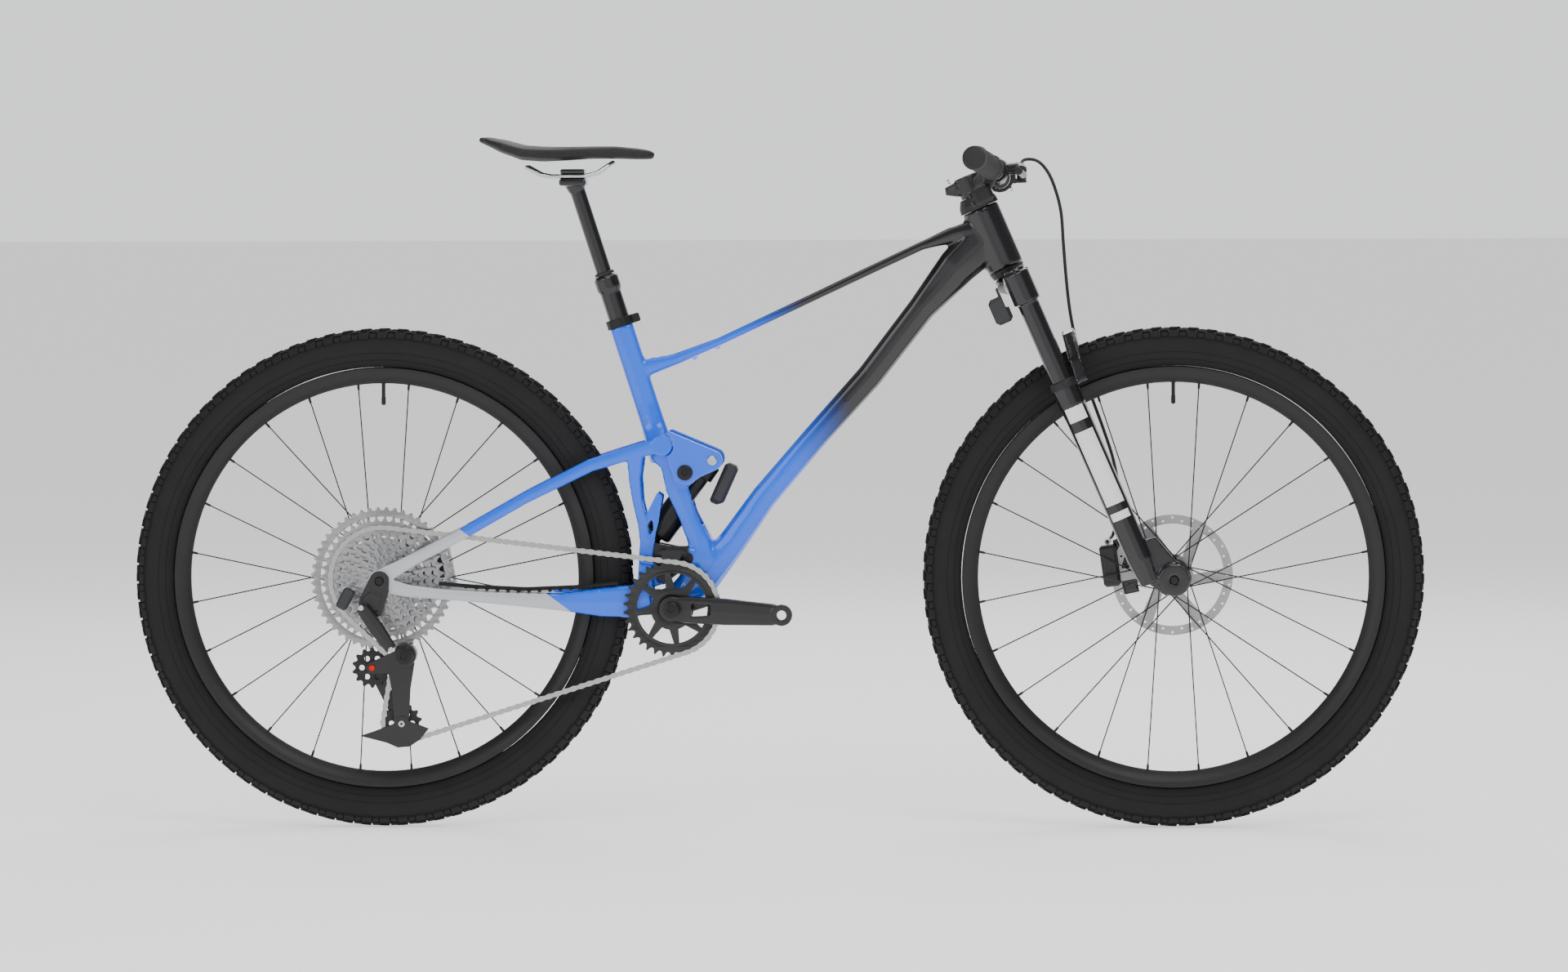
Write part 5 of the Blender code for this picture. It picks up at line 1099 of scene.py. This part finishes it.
class BIKE_OT_drivetrain(bpy.types.Operator):
    """Builds the chainring, cassette, pulleys, cranks and the chain link by link"""

    bl_idname = "bike.drivetrain"
    bl_label = "Drivetrain"

    def execute(self, context):
        self.ring()
        self.cassette()
        self.cranks()
        self.derailleur()
        self.chain()
        return {"FINISHED"}

    def ring(self):
        centre = flat(CRANK_AXLE)
        radius = pitch_radius(RING_TEETH)
        rings = [toothed(centre, RING_TEETH), circle(centre, radius - 0.0125, 64)]
        fit(plate("chainring_teeth", rings, RING_Y, 0.0022, 0.0003), "crank", "forged_black", "satin_black")
        spider = [circle(centre, radius - 0.0118, 64), circle(centre, 0.0195, 32)]
        span = 2 * math.pi / 8
        for i in range(8):
            start = span * (i + 0.18)
            spider.append(swept(centre, radius - 0.0165, start + span * 0.08, start + span * 0.88, 7)
                          + swept(centre, 0.0320, start + span * 0.66, start + span * 0.20, 4))
        fit(plate("chainring_spider", spider, RING_Y, 0.0036, 0.0004), "crank", "forged_black", "satin_black",
            "chainring")

    def cassette(self):
        centre = flat(REAR_AXLE)
        for i, teeth in enumerate(COG_TEETH):
            y = COG_START - COG_GAP * i
            radius = pitch_radius(teeth)
            inner = max(radius - 0.0125, 0.0135) if i < 9 else 0.0085
            rings = [toothed(centre, teeth, i * 0.31, tip=0.0022 if i == 0 else 0.0042),
                     circle(centre, min(inner, radius - 0.0060))]
            cog = plate(f"cog_{i + 1:02d}", rings, y, 0.0018, 0.0002)
            fit(cog, "cassette", "cog_steel", "bright_steel", *(["cassette"] if i == 0 else []))
        webs = []
        for i in range(len(COG_TEETH) - 3):
            outer = pitch_radius(COG_TEETH[i]) - 0.0115
            inner = pitch_radius(COG_TEETH[i + 1]) - 0.0120
            y = COG_START - COG_GAP * (i + 0.5)
            arms = 10
            for k in range(arms):
                angle = 2 * math.pi * (k + 0.35 * i) / arms
                out = Vector((math.cos(angle), 0, math.sin(angle)))
                start = Vector((centre[0], y + COG_GAP * 0.5, centre[1])) + out * outer
                end = Vector((centre[0], y - COG_GAP * 0.5, centre[1])) + out * max(inner, 0.012)
                webs.append(rod("web", [start, end], 0.0016, 1))
        fit(joined(webs, "cassette_webs"), "cassette", "cog_steel", "bright_steel")
        first, last = COG_START + 0.001, COG_START - COG_GAP * 11 - 0.0012
        axle = (REAR_AXLE.x, 0, REAR_AXLE.z)
        profile = [(0.0130, first), (0.0172, first), (0.0172, first - 0.028), (0.0150, last), (0.0130, last)]
        fit(lathe("cassette_sleeve", profile, axle, steps=48), "cassette", "anodised_black", "satin_black")
        profile = [(0.0075, last + 0.001), (0.0150, last + 0.001), (0.0150, last - 0.0010),
                   (0.0125, last - 0.0022), (0.0075, last - 0.0022)]
        fit(lathe("cassette_lockring", profile, axle, steps=40), "cassette", "silver_trim", "bright_steel")

    def cranks(self):
        dress([(f"crank_arm_{side}", f"{side}_crank_forging", "crank", 0.0013, 3, "forged_black",
                "satin_black") for side in ("right", "left")])
        low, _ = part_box("crank_arm_right")
        spot = Vector((CRANK_AXLE.x, low.y + 0.0005, CRANK_AXLE.z))
        cap = lathe("crank_bolt", bolt_head(0.0115, 0.0030), spot, (0, -1, 0), steps=40, closed=False)
        fit(cap, "crank", "anodised_black", "satin_black")

    def derailleur(self):
        dress([(f"derailleur_{part}", f"derailleur_{part}_body", body, voxel, 2, finish, "satin_black")
               for part, body, voxel, finish in (("mount", "rear_arm", 0.0006, "forged_black"),
                                                 ("battery", "rear_arm", 0.0006, "moulded_grey"),
                                                 ("outer_link", "outer_link", 0.0006, "forged_black"),
                                                 ("inner_link", "inner_link", 0.0006, "forged_black"),
                                                 ("knuckle", "knuckle", 0.0007, "forged_black"),
                                                 ("cage", "cage", 0.0007, "forged_black"))])
        for name, place in (("upper_pulley", UPPER_PULLEY), ("lower_pulley", LOWER_PULLEY)):
            centre = flat(place)
            rings = [toothed(centre, PULLEY_TEETH, tip=0.0018), circle(centre, 0.0045, 20)]
            rings += [circle(polar(centre, 0.0155, math.pi * i / 3), 0.0042, 12) for i in range(6)]
            fit(plate(name + "_wheel", rings, COG_Y, 0.0024, 0.0003), name, "moulded_black", "satin_black", name)
        low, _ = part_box("derailleur_knuckle")
        pivot = Vector(JOINTS["cage_pivot"]["pos_m"])
        shift, hinge = (Vector(JOINTS[joint]["pos_m"]) - SIDEWAYS * 0.0032
                        for joint in ("derailleur_shift", "knuckle_pivot"))
        upper, lower = (Vector((place.x, COG_Y - 0.0068, place.z)) for place in (UPPER_PULLEY, LOWER_PULLEY))
        for name, radius, tall, spot, steps, body, finish in (
                ("upper_pulley_bolt", 0.0050, 0.0024, upper, 24, "cage", "red_anodised"),
                ("lower_pulley_bolt", 0.0050, 0.0024, lower, 24, "cage", "silver_trim"),
                ("cage_pivot_cap", 0.0125, 0.0022, Vector((pivot.x, low.y, pivot.z)), 40, "knuckle",
                 "anodised_black"),
                ("derailleur_shift_pin", 0.0040, 0.0016, shift, 20, "rear_arm", "silver_trim"),
                ("knuckle_pivot_pin", 0.0040, 0.0016, hinge, 20, "outer_link", "silver_trim")):
            head = lathe(name, bolt_head(radius, tall), spot, (0, -1, 0), steps=steps, closed=False)
            fit(head, body, finish, "satin_black")

    def chain(self):
        """Three stretches made of single links; the rear and tail stretches ride on the bodies that carry them.
        """
        pins = chain_pins()
        seeds = {True: chain_link(True), False: chain_link(False)}
        stretches = {"chain_front": [], "chain_rear": [], "chain_tail": []}
        for n, (pin, wheel_index, straight) in enumerate(pins):
            after = pins[(n + 1) % len(pins)][0]
            middle, ahead = (pin + after) / 2, (after - pin).normalized()
            side = (SIDEWAYS - ahead * ahead.y).normalized()
            turn = Matrix((ahead, side, ahead.cross(side))).transposed().to_4x4()
            link = copied(seeds[n % 2 == 0], Matrix.Translation(middle) @ turn)
            if wheel_index == 0 or (wheel_index == 3 and straight):
                stretches["chain_front"].append(link)
            elif wheel_index == 1:
                stretches["chain_rear"].append(link)
            else:
                stretches["chain_tail"].append(link)
        for seed in seeds.values():
            bpy.data.objects.remove(seed, do_unlink=True)
        front = wear(joined(stretches["chain_front"], "chain_front"), "chain_steel")
        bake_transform(front)
        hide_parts("chain")
        fit(joined(stretches["chain_rear"], "chain_rear"), "rear_arm", "chain_steel", "bright_steel")
        fit(joined(stretches["chain_tail"], "chain_tail"), "cage", "chain_steel", "bright_steel")


# ---------------------------------------------------------------- seat
class BIKE_OT_seat(bpy.types.Operator):
    """Builds the saddle, its rails and the dropper post"""

    bl_idname = "bike.seat"
    bl_label = "Saddle and post"

    def execute(self, context):
        saddle = polished("saddle", "saddle_pad", 0.0020, 8)
        fit(saddle, "seatpost", "saddle_cover", "saddle_cover", "saddle")
        dress([
            ("saddle_rails", "saddle_rail_wires", "seatpost", 0.0009, 2, "silver_trim", "satin_black"),
            ("seatpost_inner", "seatpost_slider", "seatpost", 0.0013, 2, "fork_paint", "gloss_black"),
            ("seatpost_outer", "seatpost_tube", "frame", 0.0015, 2, "fork_paint", "gloss_black")])
        self.seal()
        return {"FINISHED"}

    def seal(self):
        """The wiper ring on top of the post's collar."""
        up = Vector(JOINTS["dropper_travel"]["axis"])
        ring = lathe("post_seal", [(0.0120, 0.0), (0.0150, 0.0), (0.0145, 0.0035), (0.0122, 0.0045)],
                     POST_FOOT + up * 0.0715, up, steps=40)
        fit(ring, "frame", "moulded_black", "satin_black")


# ---------------------------------------------------------------- stage
class BIKE_OT_stage(bpy.types.Operator):
    """Lays a pale floor and sets the soft lights and the camera"""

    bl_idname = "bike.stage"
    bl_label = "Stage"

    def execute(self, context):
        settings = context.scene.bike_stage
        deselect()
        bpy.ops.mesh.primitive_plane_add(size=settings.floor, location=(0, 0, -0.0005))
        floor = named("floor")
        material, tree, shader = plain_shader("floor_card")
        surface = put_group(tree, "surface_grain", Scale=40.0, Roughness=0.8, Spread=0.05)
        shader.inputs["Base Color"].default_value = (0.86, 0.86, 0.86, 1)
        shader.inputs["Emission Color"].default_value = (1, 1, 1, 1)
        shader.inputs["Emission Strength"].default_value = 0.75
        wire(tree, surface.outputs["Roughness"], shader.inputs["Roughness"])
        floor.data.materials.append(material)
        self.world()
        self.lights(settings)
        self.camera(settings)
        return {"FINISHED"}

    def world(self):
        world = bpy.data.worlds.new("studio")
        world.use_nodes = True
        tree = world.node_tree
        parts = add_node(tree, "ShaderNodeSeparateXYZ")
        wire(tree, add_node(tree, "ShaderNodeTexCoord").outputs["Generated"], parts.inputs[0])
        fade = add_node(tree, "ShaderNodeMapRange", interpolation_type="SMOOTHSTEP")
        for label, value in (("From Min", 0.12), ("From Max", 0.30), ("To Min", 1.25), ("To Max", 0.22)):
            fade.inputs[label].default_value = value
        wire(tree, parts.outputs["Z"], fade.inputs["Value"])
        wire(tree, fade.outputs["Result"], tree.nodes["Background"].inputs["Strength"])
        tree.nodes["Background"].inputs["Color"].default_value = (0.96, 0.97, 1.0, 1)
        bpy.context.scene.world = world

    def lights(self, settings):
        places = (("key", (1.5, -4.0, 4.5), 3.2, settings.lamp),
                  ("fill", (-3.5, -4.5, 2.5), 3.0, settings.lamp * 0.5),
                  ("rim_lamp", (0.5, 3.5, 3.5), 3.0, settings.lamp * 0.6),
                  ("top", (0.0, 0.0, 4.5), 4.0, settings.lamp * 0.5))
        for name, place, size, power in places:
            bpy.ops.object.light_add(type="AREA", location=place)
            lamp = bpy.context.object
            lamp.name = name
            lamp.data.size = size
            lamp.data.energy = power
            aim = Vector((0, 0, 0.5)) - Vector(place)
            lamp.rotation_euler = aim.to_track_quat("-Z", "Y").to_euler()

    def camera(self, settings):
        bpy.ops.object.camera_add(location=(0.350, -9.390, 1.010))
        camera = bpy.context.object
        camera.name = "main_camera"
        camera.data.lens = settings.lens
        camera.data.sensor_width = 36.0
        camera.data.clip_end = 300.0
        aim = Vector((0.0092, 0.0, 0.5077)) - camera.location
        turn = aim.to_track_quat("-Z", "Y").to_matrix().to_4x4() @ Matrix.Rotation(-0.0031, 4, "Z")
        camera.rotation_euler = turn.to_euler()
        bpy.context.scene.camera = camera


class BIKE_PT_panel(bpy.types.Panel):
    """Lists the steps that dress the bike"""

    bl_idname = "BIKE_PT_panel"
    bl_label = "Mountain bike"
    bl_space_type = "VIEW_3D"
    bl_region_type = "UI"
    bl_category = "Bike"

    def draw(self, context):
        for settings in (context.scene.bike_wheels, context.scene.bike_paint, context.scene.bike_stage):
            for name in settings.__annotations__:
                self.layout.prop(settings, name)
        for step in STEPS:
            self.layout.operator(step.bl_idname)


STEPS = (BIKE_OT_finishes, BIKE_OT_hose, BIKE_OT_wheels, BIKE_OT_frame, BIKE_OT_fork, BIKE_OT_cockpit,
         BIKE_OT_drivetrain, BIKE_OT_seat, BIKE_OT_stage)
GROUPS_OF_SETTINGS = {"bike_wheels": BikeWheelSettings, "bike_paint": BikePaintSettings,
                      "bike_stage": BikeStageSettings}


def register():
    for settings in GROUPS_OF_SETTINGS.values():
        bpy.utils.register_class(settings)
    for name, settings in GROUPS_OF_SETTINGS.items():
        setattr(bpy.types.Scene, name, bpy.props.PointerProperty(type=settings))
    for step in (*STEPS, BIKE_PT_panel):
        bpy.utils.register_class(step)


def unregister():
    for step in (BIKE_PT_panel, *reversed(STEPS)):
        bpy.utils.unregister_class(step)
    for name, settings in GROUPS_OF_SETTINGS.items():
        delattr(bpy.types.Scene, name)
        bpy.utils.unregister_class(settings)


def main():
    register()
    for step in STEPS:
        section, action = step.bl_idname.split(".")
        getattr(getattr(bpy.ops, section), action)()


if __name__ == "__main__":
    main()
